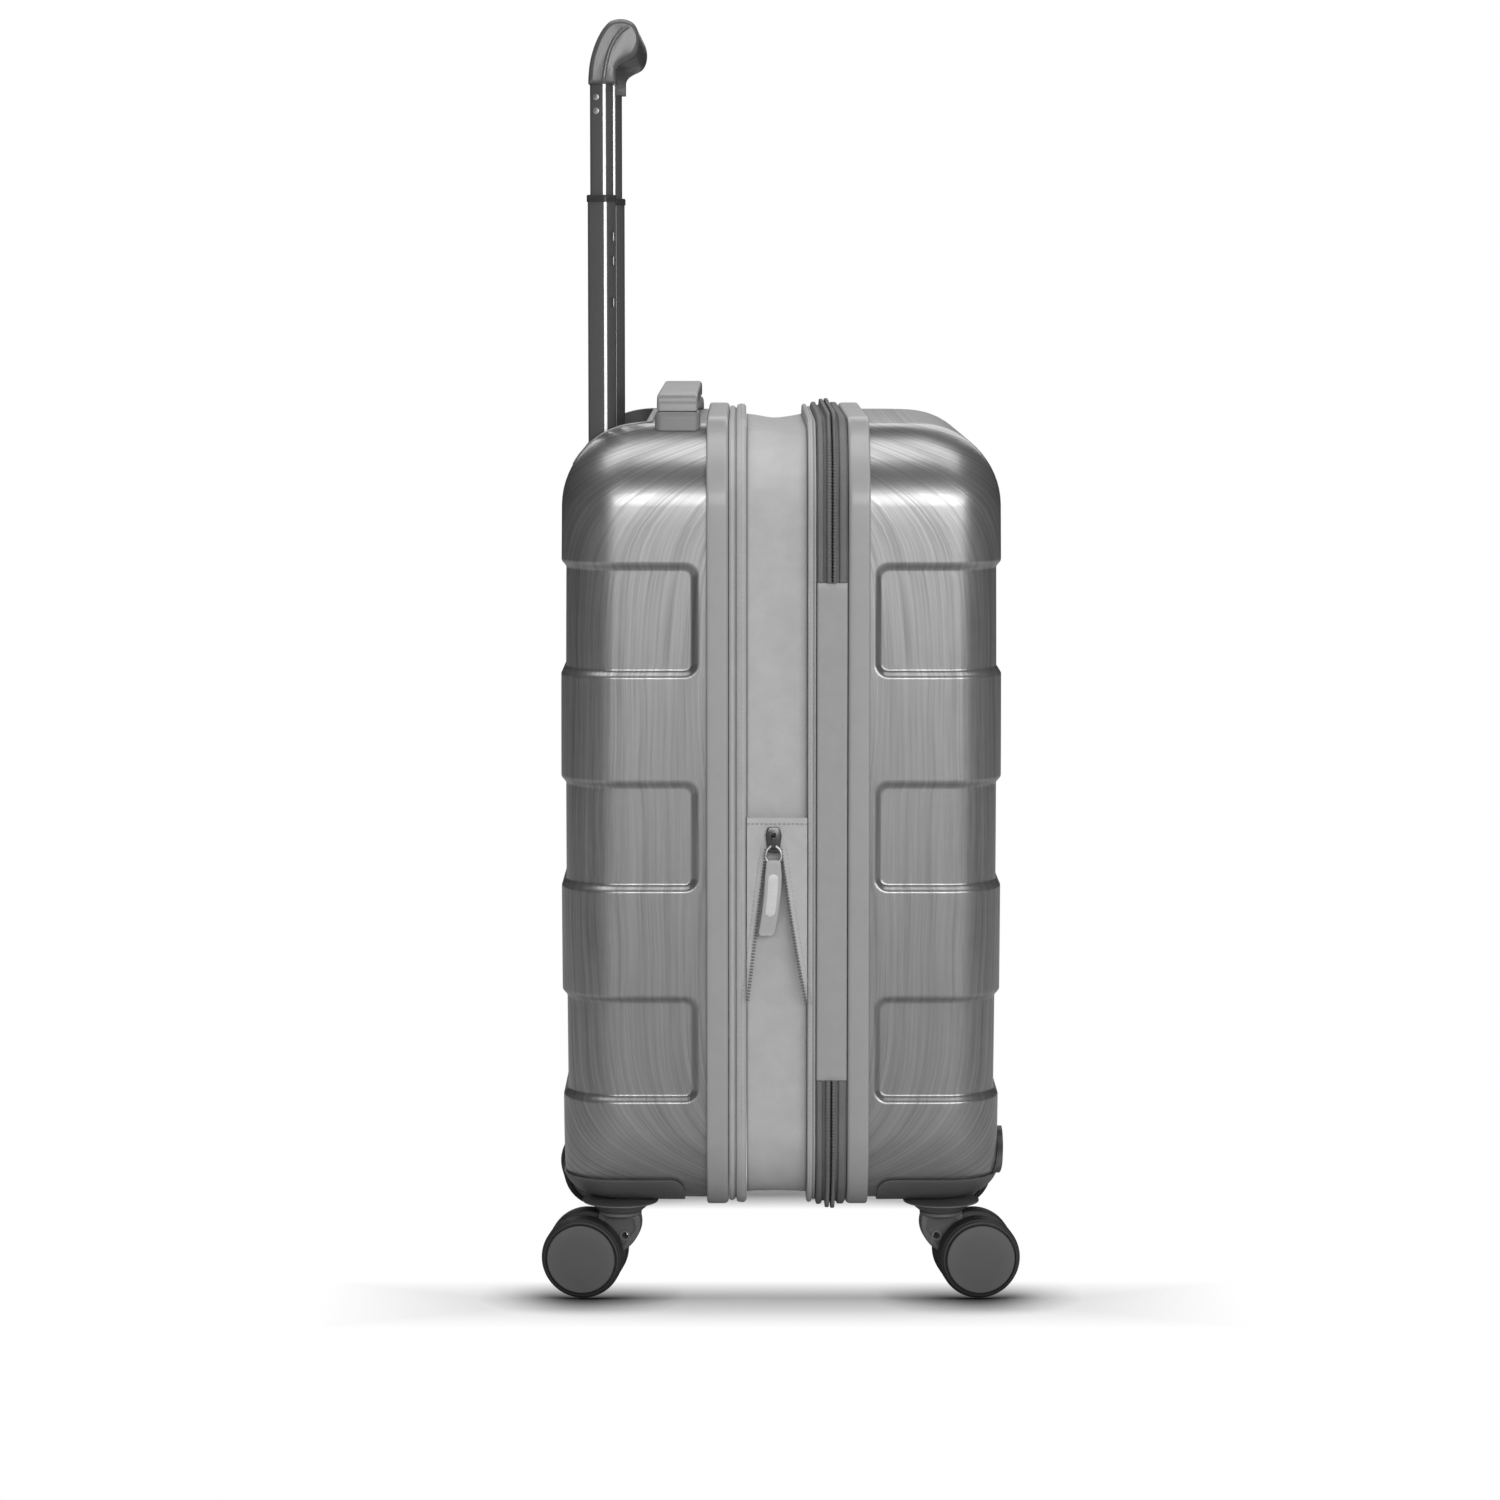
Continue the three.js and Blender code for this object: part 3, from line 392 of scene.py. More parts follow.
class Maker:
    """Turns shapes into mesh objects and keeps the rules that every piece follows."""

    @staticmethod
    def mesh(name: str, shape: Shape, material: Material, angle: float = 35.0) -> Object:
        """Makes a mesh object at the origin.

        Args:
            name: The object's name.
            shape: Its points and faces.
            material: Its finish.
            angle: Edges sharper than this many degrees stay sharp.

        Returns:
            The new object, linked to the scene.
        """
        data = bpy.data.meshes.new(name)
        data.from_pydata([(x * MM, y * MM, z * MM) for x, y, z in shape.points], [], shape.faces)
        if shape.uv:
            layer = data.uv_layers.new(name="UVMap")
            index = np.zeros(len(data.loops), np.int32)
            data.loops.foreach_get("vertex_index", index)
            layer.data.foreach_set("uv", np.array(shape.uv, np.float32)[index].ravel())
        work = bmesh.new()
        work.from_mesh(data)
        bmesh.ops.remove_doubles(work, verts=work.verts, dist=1e-6)
        bmesh.ops.recalc_face_normals(work, faces=work.faces)
        work.to_mesh(data)
        work.free()
        obj = bpy.data.objects.new(name, data)
        bpy.context.collection.objects.link(obj)
        obj.data.materials.append(material)
        Maker.shade(obj, angle)
        return obj

    @staticmethod
    def shade(obj: Object, angle: float) -> None:
        """Smooths an object but for its sharp edges."""
        obj.data.polygons.foreach_set("use_smooth", [True] * len(obj.data.polygons))
        obj.data.set_sharp_from_angle(angle=math.radians(angle))

    @staticmethod
    def settle(obj: Object) -> Object:
        """Replaces an object's mesh by what its modifiers make of it, and drops them."""
        graph = bpy.context.evaluated_depsgraph_get()
        plain = bpy.data.meshes.new_from_object(obj.evaluated_get(graph), preserve_all_data_layers=True,
                                                depsgraph=graph)
        obj.modifiers.clear()
        obj.data = plain
        return obj

    @staticmethod
    def cut(obj: Object, cutters: Sequence[Shape], operation: str = "DIFFERENCE",
            angle: float = 35.0) -> Object:
        """Cuts shapes out of an object, or keeps what they share with it.

        Args:
            obj: The object, changed in place.
            cutters: The shapes.
            operation: DIFFERENCE, INTERSECT or UNION, applied with each shape.
            angle: Edges sharper than this many degrees stay sharp.

        Returns:
            The object.
        """
        helpers = []
        for i, shape in enumerate(cutters):
            helper = Maker.mesh(f"{obj.name}_cut_{i}", shape, obj.data.materials[0])
            modifier = obj.modifiers.new(f"cut {i}", "BOOLEAN")
            modifier.operation, modifier.solver, modifier.object = operation, "EXACT", helper
            helpers.append(helper)
        Maker.settle(obj)
        for helper in helpers:
            data = helper.data
            bpy.data.objects.remove(helper)
            bpy.data.meshes.remove(data)
        Maker.shade(obj, angle)
        return obj

    @staticmethod
    def soften(obj: Object, width: float, segments: int, limit: float) -> None:
        """Rounds the rims of an object where they are sharper than a limit in degrees."""
        bevel = obj.modifiers.new("soft rims", "BEVEL")
        bevel.width, bevel.segments = width * MM, segments
        bevel.limit_method, bevel.angle_limit = "ANGLE", math.radians(limit)
        Maker.settle(obj)
        Maker.shade(obj, 40)

    @staticmethod
    def piece(name: str, shape: Shape, finish: Finish, angle: float, body: str, slot: str,
              *nodes: str) -> Object:
        """Makes an object and finishes it at once."""
        return Maker.finish(Maker.mesh(name, shape, finish.material(), angle), body, slot, *nodes)

    @staticmethod
    def finish(obj: Object, body: str, slot: str, *nodes: str) -> Object:
        """Hangs an object on its body and hides the solids that it stands for."""
        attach(obj, body)
        if nodes:
            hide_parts(*nodes)
        LOG.info("%s: %d faces", obj.name, len(obj.data.polygons))
        return obj


# ------------------------------------------------------------------ shader groups and finishes


class Nodes:
    """A small hand for wiring node trees."""

    def __init__(self, tree: Tree) -> None:
        """Takes the tree that nodes are added to."""
        self.tree = tree

    def add(self, kind: str, settings: dict | None = None, **inputs: object) -> Node:
        """Adds a node, sets its properties, and sets or links its inputs by name."""
        node = self.tree.nodes.new(kind)
        for key, value in (settings or {}).items():
            setattr(node, key, value)
        for key, value in inputs.items():
            self.put(node, key.replace("_", " "), value)
        return node

    def put(self, node: Node, key: str | int, value: object) -> None:
        """Sets an input or links a socket to it."""
        socket = node.inputs[key]
        if isinstance(value, Socket):
            self.tree.links.new(value, socket)
        else:
            socket.default_value = value

    def math(self, operation: str, a: object, b: object = 0.0, clamp: bool = False) -> Socket:
        """A maths node's result."""
        node = self.add("ShaderNodeMath", {"operation": operation, "use_clamp": clamp})
        self.put(node, 0, a)
        self.put(node, 1, b)
        return node.outputs[0]

    def ranged(self, value: object, low: float, high: float, to_low: float = 0.0,
               to_high: float = 1.0) -> Socket:
        """A value moved from one range to another, clamped."""
        node = self.add("ShaderNodeMapRange", Value=value)
        for key, number in (("From Min", low), ("From Max", high), ("To Min", to_low), ("To Max", to_high)):
            node.inputs[key].default_value = number
        return node.outputs["Result"]

    def noise(self, vector: object, scale: float, detail: float = 3.0, rough: float = 0.5) -> Socket:
        """A noise texture's value."""
        node = self.add("ShaderNodeTexNoise", Vector=vector, Scale=scale, Detail=detail, Roughness=rough)
        return node.outputs[0]


def shader_group(name: str, inputs: Sequence[tuple[str, str, object]], outputs: Sequence[str],
                 wire: Callable[[Nodes, Node, Node], None]) -> Tree:
    """Makes a shader node group once.

    Args:
        name: The group's name.
        inputs: Name, socket type and default of each input.
        outputs: Names of the value outputs.
        wire: Fills the group, given its nodes, input node and output node.

    Returns:
        The group.
    """
    tree = bpy.data.node_groups.get(name)
    if tree is not None:
        return tree
    tree = bpy.data.node_groups.new(name, "ShaderNodeTree")
    for label, kind, default in inputs:
        socket = tree.interface.new_socket(name=label, in_out="INPUT", socket_type=kind)
        if default is not None:
            socket.default_value = default
    for label in outputs:
        tree.interface.new_socket(name=label, in_out="OUTPUT", socket_type="NodeSocketFloat")
    nodes = Nodes(tree)
    wire(nodes, nodes.add("NodeGroupInput"), nodes.add("NodeGroupOutput"))
    return tree


def brushed_group() -> Tree:
    """Fine streaks that run along V, in long and short lengths, with slow cloudy drift."""

    def wire(n: Nodes, start: Node, end: Node) -> None:
        """Wires the group between its input and its output."""
        drift = n.add("ShaderNodeMapping", Vector=start.outputs["Vector"], Scale=(3.0, 1.2, 3.0)).outputs[0]
        wave = n.noise(drift, 4.0, 2.0)
        parts = n.add("ShaderNodeSeparateXYZ", Vector=start.outputs["Vector"])
        bent = n.math("ADD", parts.outputs[0], n.math("MULTIPLY", wave, 0.016))
        path = n.add("ShaderNodeCombineXYZ", X=bent, Y=parts.outputs[1], Z=parts.outputs[2]).outputs[0]
        long_streak = n.add("ShaderNodeMapping", Vector=path, Scale=(420.0, 5.0, 5.0)).outputs[0]
        short_streak = n.add("ShaderNodeMapping", Vector=path, Scale=(900.0, 22.0, 22.0)).outputs[0]
        broad = n.add("ShaderNodeMapping", Vector=path, Scale=(120.0, 2.0, 2.0)).outputs[0]
        a = n.noise(long_streak, 1.0, 2.0, 0.6)
        b = n.noise(short_streak, 1.0, 2.0, 0.6)
        c = n.noise(broad, 1.0, 2.0, 0.5)
        mixed = n.math("ADD", n.math("MULTIPLY", a, 0.45), n.math("MULTIPLY", b, 0.25))
        mixed = n.math("ADD", mixed, n.math("MULTIPLY", c, 0.30))
        n.put(end, "Streak", n.ranged(mixed, 0.36, 0.64))
        n.put(end, "Fine", b)

    return shader_group("Brushed streaks", [("Vector", "NodeSocketVector", None)], ["Streak", "Fine"], wire)


def weave_group() -> Tree:
    """A plain weave: threads that pass over and under each other."""

    def wire(n: Nodes, start: Node, end: Node) -> None:
        """Wires the group between its input and its output."""
        scaled = n.add("ShaderNodeVectorMath", {"operation": "SCALE"}, Vector=start.outputs["Vector"])
        n.put(scaled, "Scale", start.outputs["Threads"])
        parts = n.add("ShaderNodeSeparateXYZ", Vector=scaled.outputs[0])
        across = n.math("ABSOLUTE", n.math("SINE", parts.outputs[0]))
        down = n.math("ABSOLUTE", n.math("SINE", parts.outputs[1]))
        turn = n.math("SINE", n.math("MULTIPLY", parts.outputs[0], 0.5))
        row_turn = n.math("SINE", n.math("MULTIPLY", parts.outputs[1], 0.5))
        over = n.math("GREATER_THAN", n.math("MULTIPLY", turn, row_turn), 0.0)
        mixed = n.math("ADD", n.math("MULTIPLY", across, over),
                       n.math("MULTIPLY", down, n.math("SUBTRACT", 1.0, over)))
        n.put(end, "Height", mixed)
        n.put(end, "Slub", n.noise(start.outputs["Vector"], 60.0, 4.0, 0.6))

    inputs = [("Vector", "NodeSocketVector", None), ("Threads", "NodeSocketFloat", 4000.0)]
    return shader_group("Plain weave", inputs, ["Height", "Slub"], wire)


def grain_group() -> Tree:
    """The fine texture of moulded plastic, with rare small marks."""

    def wire(n: Nodes, start: Node, end: Node) -> None:
        """Wires the group between its input and its output."""
        grain = n.noise(start.outputs["Vector"], 1400.0, 2.0, 0.6)
        cells = n.add("ShaderNodeTexVoronoi", Vector=start.outputs["Vector"], Scale=900.0).outputs["Distance"]
        n.put(end, "Height", n.math("ADD", n.math("MULTIPLY", grain, 0.6), n.math("MULTIPLY", cells, 0.4)))
        n.put(end, "Cloud", n.noise(start.outputs["Vector"], 22.0, 3.0, 0.55))

    return shader_group("Moulded grain", [("Vector", "NodeSocketVector", None)], ["Height", "Cloud"], wire)


def wear_and_hollow_shade_group() -> Tree:
    """Wear on convex edges, from the mesh's convexity, and painted shade that darkens the colour in concave
    hollows.
    """

    def wire(n: Nodes, start: Node, end: Node) -> None:
        """Wires the group between its input and its output."""
        shape = n.add("ShaderNodeNewGeometry").outputs["Pointiness"]
        patchy = n.noise(start.outputs["Vector"], 90.0, 4.0, 0.6)
        ragged = n.math("ADD", shape, n.math("MULTIPLY", n.math("SUBTRACT", patchy, 0.5), 0.03))
        edge = n.ranged(ragged, 0.505, 0.56)
        n.put(end, "Edge", n.math("MULTIPLY", edge, start.outputs["Amount"]))
        # painted shade: concave hollows are marked here so the colour is darkened where shade would fall
        hollow = n.ranged(shape, 0.49, 0.44)
        n.put(end, "Hollow", n.math("MULTIPLY", hollow, start.outputs["Amount"]))

    inputs = [("Vector", "NodeSocketVector", None), ("Amount", "NodeSocketFloat", 1.0)]
    return shader_group("Edge wear", inputs, ["Edge", "Hollow"], wire)


class Texture(Enum):
    """The surface patterns that a finish can carry."""

    BRUSHED = "brushed"
    GRAIN = "grain"
    WEAVE = "weave"
    SATIN = "satin"


@dataclass(frozen=True)
class Finish:
    """One procedural finish.

    Fields:
        tone: Its grey, as shown on a screen, 0 to 1.
        rough: Roughness.
        metal: Metallic.
        coat: Weight of a clear coat.
        texture: The pattern that it carries.
        depth: How strong the pattern's relief is.
        vary: How far the pattern changes the tone.
        threads: Threads per metre times pi, for a weave.
        wear: How far worn edges lighten; it also sets how strongly painted shade darkens hollows.
    """

    name: str
    tone: float
    rough: float = 0.5
    metal: float = 0.0
    coat: float = 0.0
    texture: Texture = Texture.GRAIN
    depth: float = 0.1
    vary: float = 0.1
    threads: float = 4200.0
    wear: float = 0.25

    @property
    def linear(self) -> float:
        """The tone in linear light."""
        return self.tone / 12.92 if self.tone <= 0.04045 else ((self.tone + 0.055) / 1.055) ** 2.4

    def material(self) -> Material:
        """The finish's material, made once."""
        found = bpy.data.materials.get(self.name)
        return found if found is not None else self._build()

    def _build(self) -> Material:
        """Makes the material's nodes."""
        material = bpy.data.materials.new(self.name)
        material.use_nodes = True
        tree = material.node_tree
        tree.nodes.clear()
        n = Nodes(tree)
        out = n.add("ShaderNodeOutputMaterial")
        shader = n.add("ShaderNodeBsdfPrincipled")
        n.put(out, "Surface", shader.outputs[0])
        shader.inputs["Metallic"].default_value = self.metal
        shader.inputs["Coat Weight"].default_value = self.coat
        shader.inputs["Coat Roughness"].default_value = 0.12
        coords = n.add("ShaderNodeTexCoord")
        place = coords.outputs["Object"]
        pattern, height = self._pattern(n, coords)
        low, high = self.linear * (1 - self.vary), self.linear * (1 + self.vary)
        shade = n.ranged(pattern, 0.0, 1.0, low, high)
        wear = n.add("ShaderNodeGroup", {"node_tree": wear_and_hollow_shade_group()}, Vector=place, Amount=self.wear)
        lighter = n.math("ADD", shade, n.math("MULTIPLY", wear.outputs["Edge"], self.linear * 0.9))
        # painted shade: the colour is darkened by up to 80 % in concave hollows
        hollow_shade = n.math("MULTIPLY", wear.outputs["Hollow"], 0.8)
        darker = n.math("MULTIPLY", lighter, n.math("SUBTRACT", 1.0, hollow_shade))
        colour = n.add("ShaderNodeCombineColor", Red=darker, Green=darker, Blue=darker)
        n.put(shader, "Base Color", colour.outputs[0])
        rough = n.ranged(pattern, 0.0, 1.0, self.rough * 1.18, self.rough * 0.85)
        worn = n.math("MULTIPLY", wear.outputs["Edge"], 0.1)
        n.put(shader, "Roughness", n.math("ADD", rough, worn, clamp=True))
        bump = n.add("ShaderNodeBump", Strength=self.depth, Distance=0.0004, Height=height)
        n.put(shader, "Normal", bump.outputs[0])
        return material

    def _pattern(self, n: Nodes, coords: Node) -> tuple[Socket, Socket]:
        """The pattern's value and its relief."""
        if self.texture is Texture.BRUSHED:
            node = n.add("ShaderNodeGroup", {"node_tree": brushed_group()}, Vector=coords.outputs["UV"])
            return node.outputs["Streak"], node.outputs["Streak"]
        if self.texture is Texture.WEAVE:
            node = n.add("ShaderNodeGroup", {"node_tree": weave_group()}, Vector=coords.outputs["UV"],
                         Threads=self.threads)
            return node.outputs["Slub"], node.outputs["Height"]
        node = n.add("ShaderNodeGroup", {"node_tree": grain_group()}, Vector=coords.outputs["Object"])
        if self.texture is Texture.SATIN:
            return node.outputs["Cloud"], node.outputs["Cloud"]
        return node.outputs["Cloud"], node.outputs["Height"]


@dataclass(frozen=True)
class Finishes:
    """Every finish of the suitcase."""

    shell: Finish = Finish("brushed shell", 0.56, 0.33, 0.75, 0.25, Texture.BRUSHED, 0.12, 0.30, wear=0.35)
    band: Finish = Finish("moulded edging", 0.57, 0.40, 0.0, 0.15, Texture.SATIN, 0.04, 0.06)
    flange: Finish = Finish("coated fabric", 0.64, 0.62, texture=Texture.WEAVE, depth=0.25, vary=0.08)
    gusset: Finish = Finish("gusset fabric", 0.68, 0.70, texture=Texture.WEAVE, depth=0.30, vary=0.14,
                            wear=0.0)
    tape: Finish = Finish("zipper tape", 0.42, 0.75, texture=Texture.WEAVE, depth=0.4, vary=0.2, wear=0.0)
    cord: Finish = Finish("zipper coil", 0.36, 0.5, texture=Texture.SATIN, depth=0.1, vary=0.2)
    hinge: Finish = Finish("hinge cover", 0.57, 0.55, texture=Texture.WEAVE, depth=0.12, vary=0.05)
    thread: Finish = Finish("thread", 0.60, 0.7, texture=Texture.SATIN, wear=0.0)
    dark_plastic: Finish = Finish("dark plastic", 0.33, 0.42, texture=Texture.GRAIN, depth=0.12, vary=0.08)
    tray: Finish = Finish("pocket plastic", 0.42, 0.5, texture=Texture.GRAIN, depth=0.12, vary=0.08)
    black_plastic: Finish = Finish("black plastic", 0.17, 0.45, texture=Texture.GRAIN, depth=0.12, vary=0.08)
    handle_plastic: Finish = Finish("handle plastic", 0.48, 0.36, texture=Texture.GRAIN, depth=0.06,
                                    vary=0.04)
    grip: Finish = Finish("grip plastic", 0.32, 0.34, 0.0, 0.35, Texture.GRAIN, 0.08, 0.06)
    tube: Finish = Finish("anodised tube", 0.40, 0.32, 0.6, texture=Texture.SATIN, depth=0.02, vary=0.05)
    # painted highlight: the ridge facets' light tone stands in for a reflection along each tube's ridge
    tube_ridge: Finish = Finish("polished ridge", 0.88, 0.35, 0.2, texture=Texture.SATIN, depth=0.02,
                                vary=0.03)
    steel: Finish = Finish("steel", 0.72, 0.22, 1.0, texture=Texture.SATIN, depth=0.02, vary=0.04)
    dark_metal: Finish = Finish("dark metal", 0.34, 0.24, 1.0, texture=Texture.SATIN, depth=0.03, vary=0.1)
    puller: Finish = Finish("puller rubber", 0.62, 0.6, texture=Texture.GRAIN, depth=0.15, vary=0.05)
    puller_field: Finish = Finish("puller field", 0.72, 0.55, texture=Texture.SATIN, depth=0.05, vary=0.03)
    handle_base: Finish = Finish("handle housing", 0.42, 0.42, texture=Texture.GRAIN, depth=0.08, vary=0.05)
    tread: Finish = Finish("wheel tread", 0.15, 0.55, texture=Texture.GRAIN, depth=0.15, vary=0.1)
    hub: Finish = Finish("wheel cap", 0.31, 0.40, texture=Texture.GRAIN, depth=0.06, vary=0.06)
    lining: Finish = Finish("lining cloth", 0.36, 0.85, texture=Texture.WEAVE, depth=0.4, vary=0.12,
                            threads=2600.0, wear=0.0)


FIN = Finishes()


# ------------------------------------------------------------------ repeated details


def bead_group() -> Tree:
    """Geometry nodes that set one bead after another along a line, its top turned outward."""
    tree = bpy.data.node_groups.get("Beads along a line")
    if tree is not None:
        return tree
    tree = bpy.data.node_groups.new("Beads along a line", "GeometryNodeTree")
    tree.is_modifier = True
    for label, kind in (("Geometry", "NodeSocketGeometry"), ("Spacing", "NodeSocketFloat"),
                        ("Size", "NodeSocketVector"), ("Material", "NodeSocketMaterial")):
        tree.interface.new_socket(name=label, in_out="INPUT", socket_type=kind)
    tree.interface.new_socket(name="Geometry", in_out="OUTPUT", socket_type="NodeSocketGeometry")
    n = Nodes(tree)
    start, end = n.add("NodeGroupInput"), n.add("NodeGroupOutput")
    curve = n.add("GeometryNodeMeshToCurve", Mesh=start.outputs["Geometry"])
    steps = n.add("GeometryNodeResampleCurve", {"mode": "LENGTH"}, Curve=curve.outputs[0],
                  Length=start.outputs["Spacing"])
    bead = n.add("GeometryNodeMeshUVSphere", Segments=8, Rings=6, Radius=0.5)
    tangent = n.add("GeometryNodeInputTangent")
    outward = n.add("GeometryNodeInputNamedAttribute", {"data_type": "FLOAT_VECTOR"}, Name="outward")
    first = n.add("FunctionNodeAlignRotationToVector", {"axis": "X"}, Vector=tangent.outputs[0])
    second = n.add("FunctionNodeAlignRotationToVector", {"axis": "Z", "pivot_axis": "X"},
                   Rotation=first.outputs[0], Vector=outward.outputs["Attribute"])
    place = n.add("GeometryNodeInstanceOnPoints", Points=steps.outputs[0], Instance=bead.outputs[0],
                  Rotation=second.outputs[0], Scale=start.outputs["Size"])
    real = n.add("GeometryNodeRealizeInstances", Geometry=place.outputs[0])
    soft = n.add("GeometryNodeSetShadeSmooth", Geometry=real.outputs[0])
    dressed = n.add("GeometryNodeSetMaterial", Geometry=soft.outputs[0], Material=start.outputs["Material"])
    n.put(end, "Geometry", dressed.outputs[0])
    return tree


@dataclass
class BeadRow:
    """Stitches or teeth along a line.

    Fields:
        path: Points of the line.
        outward: The direction away from the surface at each point.
        spacing: Distance from one bead to the next.
        size: A bead's length along the line, width across it and height.
    """

    name: str
    path: list[Point]
    outward: list[Point]
    spacing: float
    size: Point
    finish: Finish

    def build(self, body: str, slot: str) -> Object:
        """Makes the row and hangs it on a body.

        Args:
            body: The body.
            slot: Not used.

        Returns:
            The row as one object.
        """
        data = bpy.data.meshes.new(self.name)
        edges = [(i, i + 1) for i in range(len(self.path) - 1)]
        data.from_pydata([tuple(c * MM for c in p) for p in self.path], edges, [])
        attribute = data.attributes.new("outward", "FLOAT_VECTOR", "POINT")
        attribute.data.foreach_set("vector", np.array(self.outward, np.float32).ravel())
        obj = bpy.data.objects.new(self.name, data)
        bpy.context.collection.objects.link(obj)
        modifier = obj.modifiers.new("beads", "NODES")
        modifier.node_group = bead_group()
        values = {"Spacing": self.spacing * MM, "Size": [c * MM for c in self.size],
                  "Material": self.finish.material()}
        for item in modifier.node_group.interface.items_tree:
            if item.in_out == "INPUT" and item.name in values:
                modifier[item.identifier] = values[item.name]
        Maker.settle(obj)
        obj.data.materials.clear()
        obj.data.materials.append(self.finish.material())
        return Maker.finish(obj, body, slot)


# ------------------------------------------------------------------ shells


@dataclass
class Tub:
    """One half of the case as a smooth tub, open at its rim.

    Fields:
        rim: Distance of the open edge from the middle plane.
        inset: How far the skin lies inside the shell's outer face.
        panel_end: Where the sunk panels end, or None for a plain skin.
        face: Distance of the big face from the middle plane.
        arc: Facets round an upright edge.
        edge_arc: Facets round a top or bottom edge.
    """

    rim: float
    inset: float = 0.0
    panel_end: float | None = None
    face: float = BODY.face
    arc: int = 12
    edge_arc: int = 16

    def sunk(self, x: float, z: float) -> float:
        """How far a point is sunk by the panels, 0 to 1."""
        if self.panel_end is None:
            return 0.0
        qx = PANELS.round - (x - self.panel_end)
        qz = PANELS.round - PANELS.inside(z)
        outside = math.hypot(max(qx, 0), max(qz, 0)) + min(max(qx, qz), 0) - PANELS.round
        return smooth_step(-outside / PANELS.bevel)

    def heights(self) -> list[float]:
        """Heights of the rows, closest where the shape turns."""
        edge = BODY.edge_radius - self.inset
        bottom, top = BODY.ground + self.inset, BODY.top - self.inset
        turn = [1 - math.cos(math.pi / 2 * k / self.edge_arc) for k in range(self.edge_arc + 1)]
        low, high = [bottom + edge * t for t in turn], [top - edge * t for t in reversed(turn)]
        middle: list[float] = []
        if self.panel_end is not None:
            for low_edge, high_edge in PANELS.spans:
                middle += [low_edge + s * 0.7 for s in range(-1, 14)]
                middle += [high_edge - s * 0.7 for s in range(-1, 14)]
        coarse = np.linspace(low[-1], high[0], 34)[1:-1]
        middle += [z for z in coarse if all(abs(z - m) > 3 for m in middle)]
        return low + sorted(middle) + high

    def fractions(self) -> list[float]:
        """Where the points of a row's straight stretch lie, 0 at the rim to 1 at the upright edge."""
        span = self.face - self.inset - (BODY.corner_radius - self.inset) - self.rim
        if self.panel_end is None:
            return [k / 6 for k in range(6)]
        near = [(self.panel_end - self.rim + s * 0.8) / span for s in range(-1, 19)]
        before = [near[0] * k / 4 for k in range(4)]
        after = [near[-1] + (1 - near[-1]) * k / 6 for k in range(1, 6)]
        return before + near + after

    def row(self, z: float, v: float) -> tuple[list[Point], list[Pair]]:
        """One closed loop of points at a height, from the hinge side's rim round to the lock side's.

        Args:
            z: The height.
            v: Roughly the length over the skin up to this row, in millimetres, for the UVs.

        Returns:
            Its points and their UVs.
        """
        top, bottom = BODY.top - self.inset, BODY.ground + self.inset
        edge, lower = BODY.edge_radius - self.inset, BODY.lower_radius - self.inset
        from_top, from_bottom = max(0.0, edge - (top - z)), max(0.0, edge - (z - bottom))
        over = max(from_top, from_bottom)
        side = edge - math.sqrt(max(0.0, edge * edge - over * over))
        under = max(0.0, lower - (z - bottom))
        back = side if from_top > 0 else lower - math.sqrt(max(0.0, lower * lower - under * under))
        w, f = BODY.half - self.inset - side, self.face - self.inset - back
        r = (BODY.corner_radius - self.inset) * (1 - 0.45 * side / BODY.edge_radius)
        middle = BODY.ground + BODY.height / 2
        belly = BODY.crown * (1 - ((z - middle) / (BODY.height / 2)) ** 2)
        along = [(self.rim + (f - r - self.rim) * t, -w, 0.0, -1.0) for t in self.fractions()]
        for k in range(self.arc + 1):
            a = -math.pi / 2 * (1 - k / self.arc)
            along.append((f - r + r * math.cos(a), -w + r + r * math.sin(a), math.cos(a), math.sin(a)))
        along += [(f, (-w + r) * (1 - t / 8), 1.0, 0.0) for t in (*range(1, 8), 7.97)]
        half: list[Point] = []
        for x, y, nx, ny in along:
            depth = PANELS.depth * self.sunk(x, z)
            reach = smooth_step((x - self.rim) / (f - self.rim))
            half.append((x - nx * depth + belly * reach, y - ny * depth, z))
        lengths = [0.0]
        for p, q in zip(half, half[1:]):
            lengths.append(lengths[-1] + math.dist(p, q))
        bend = 0.13 * abs((z - middle) / (BODY.height / 2)) ** 8
        uv = [(length / lengths[-1] * 0.24 + bend, v * MM) for length in lengths]
        mirrored = [(x, -y, z) for x, y, z in reversed(half)]
        return half + mirrored, uv + uv[::-1]

    def skin(self) -> tuple[Shape, list[int]]:
        """The tub's skin, and the loop of points round its rim."""
        shape = Shape()
        heights = self.heights()
        v = 0.0
        for i, z in enumerate(heights):
            points, uv = self.row(z, v)
            shape.points += points
            shape.uv += uv
            if i + 1 < len(heights):
                v += max(heights[i + 1] - z, 0.6 * BODY.edge_radius * math.pi / 2 / self.edge_arc)
        n, rows = len(points), len(heights)
        for i in range(rows - 1):
            for j in range(n - 1):
                a = i * n + j
                shape.faces.append((a, a + 1, a + 1 + n, a + n))
        for base in (0, (rows - 1) * n):
            for j in range(n // 2 - 1):
                shape.faces.append((base + j, base + j + 1, base + n - 2 - j, base + n - 1 - j))
        loop = [i * n for i in range(rows)] + [i * n + n - 1 for i in reversed(range(rows))]
        return shape, loop

    def solid(self) -> Shape:
        """The tub closed flat across its rim."""
        shape, loop = self.skin()
        shape.faces.append(tuple(loop))
        return shape

    def walled(self, thick: float) -> Shape:
        """The tub as a wall of a thickness."""
        outer, loop = self.skin()
        inner, _ = Tub(self.rim, self.inset + thick, self.panel_end, self.face, self.arc,
                       self.edge_arc).skin()
        count = len(outer.points)
        both = outer.joined(inner)
        for a, b in zip(loop, loop[1:] + loop[:1]):
            both.faces.append((a, b, b + count, a + count))
        return both


def smooth_half(grow: float, side: Side = Side.FRONT) -> Shape:
    """One half of the case without its panels, as a solid grown by a margin."""
    return turned(Tub(0, -grow, None, arc=20, edge_arc=24).solid(), side)


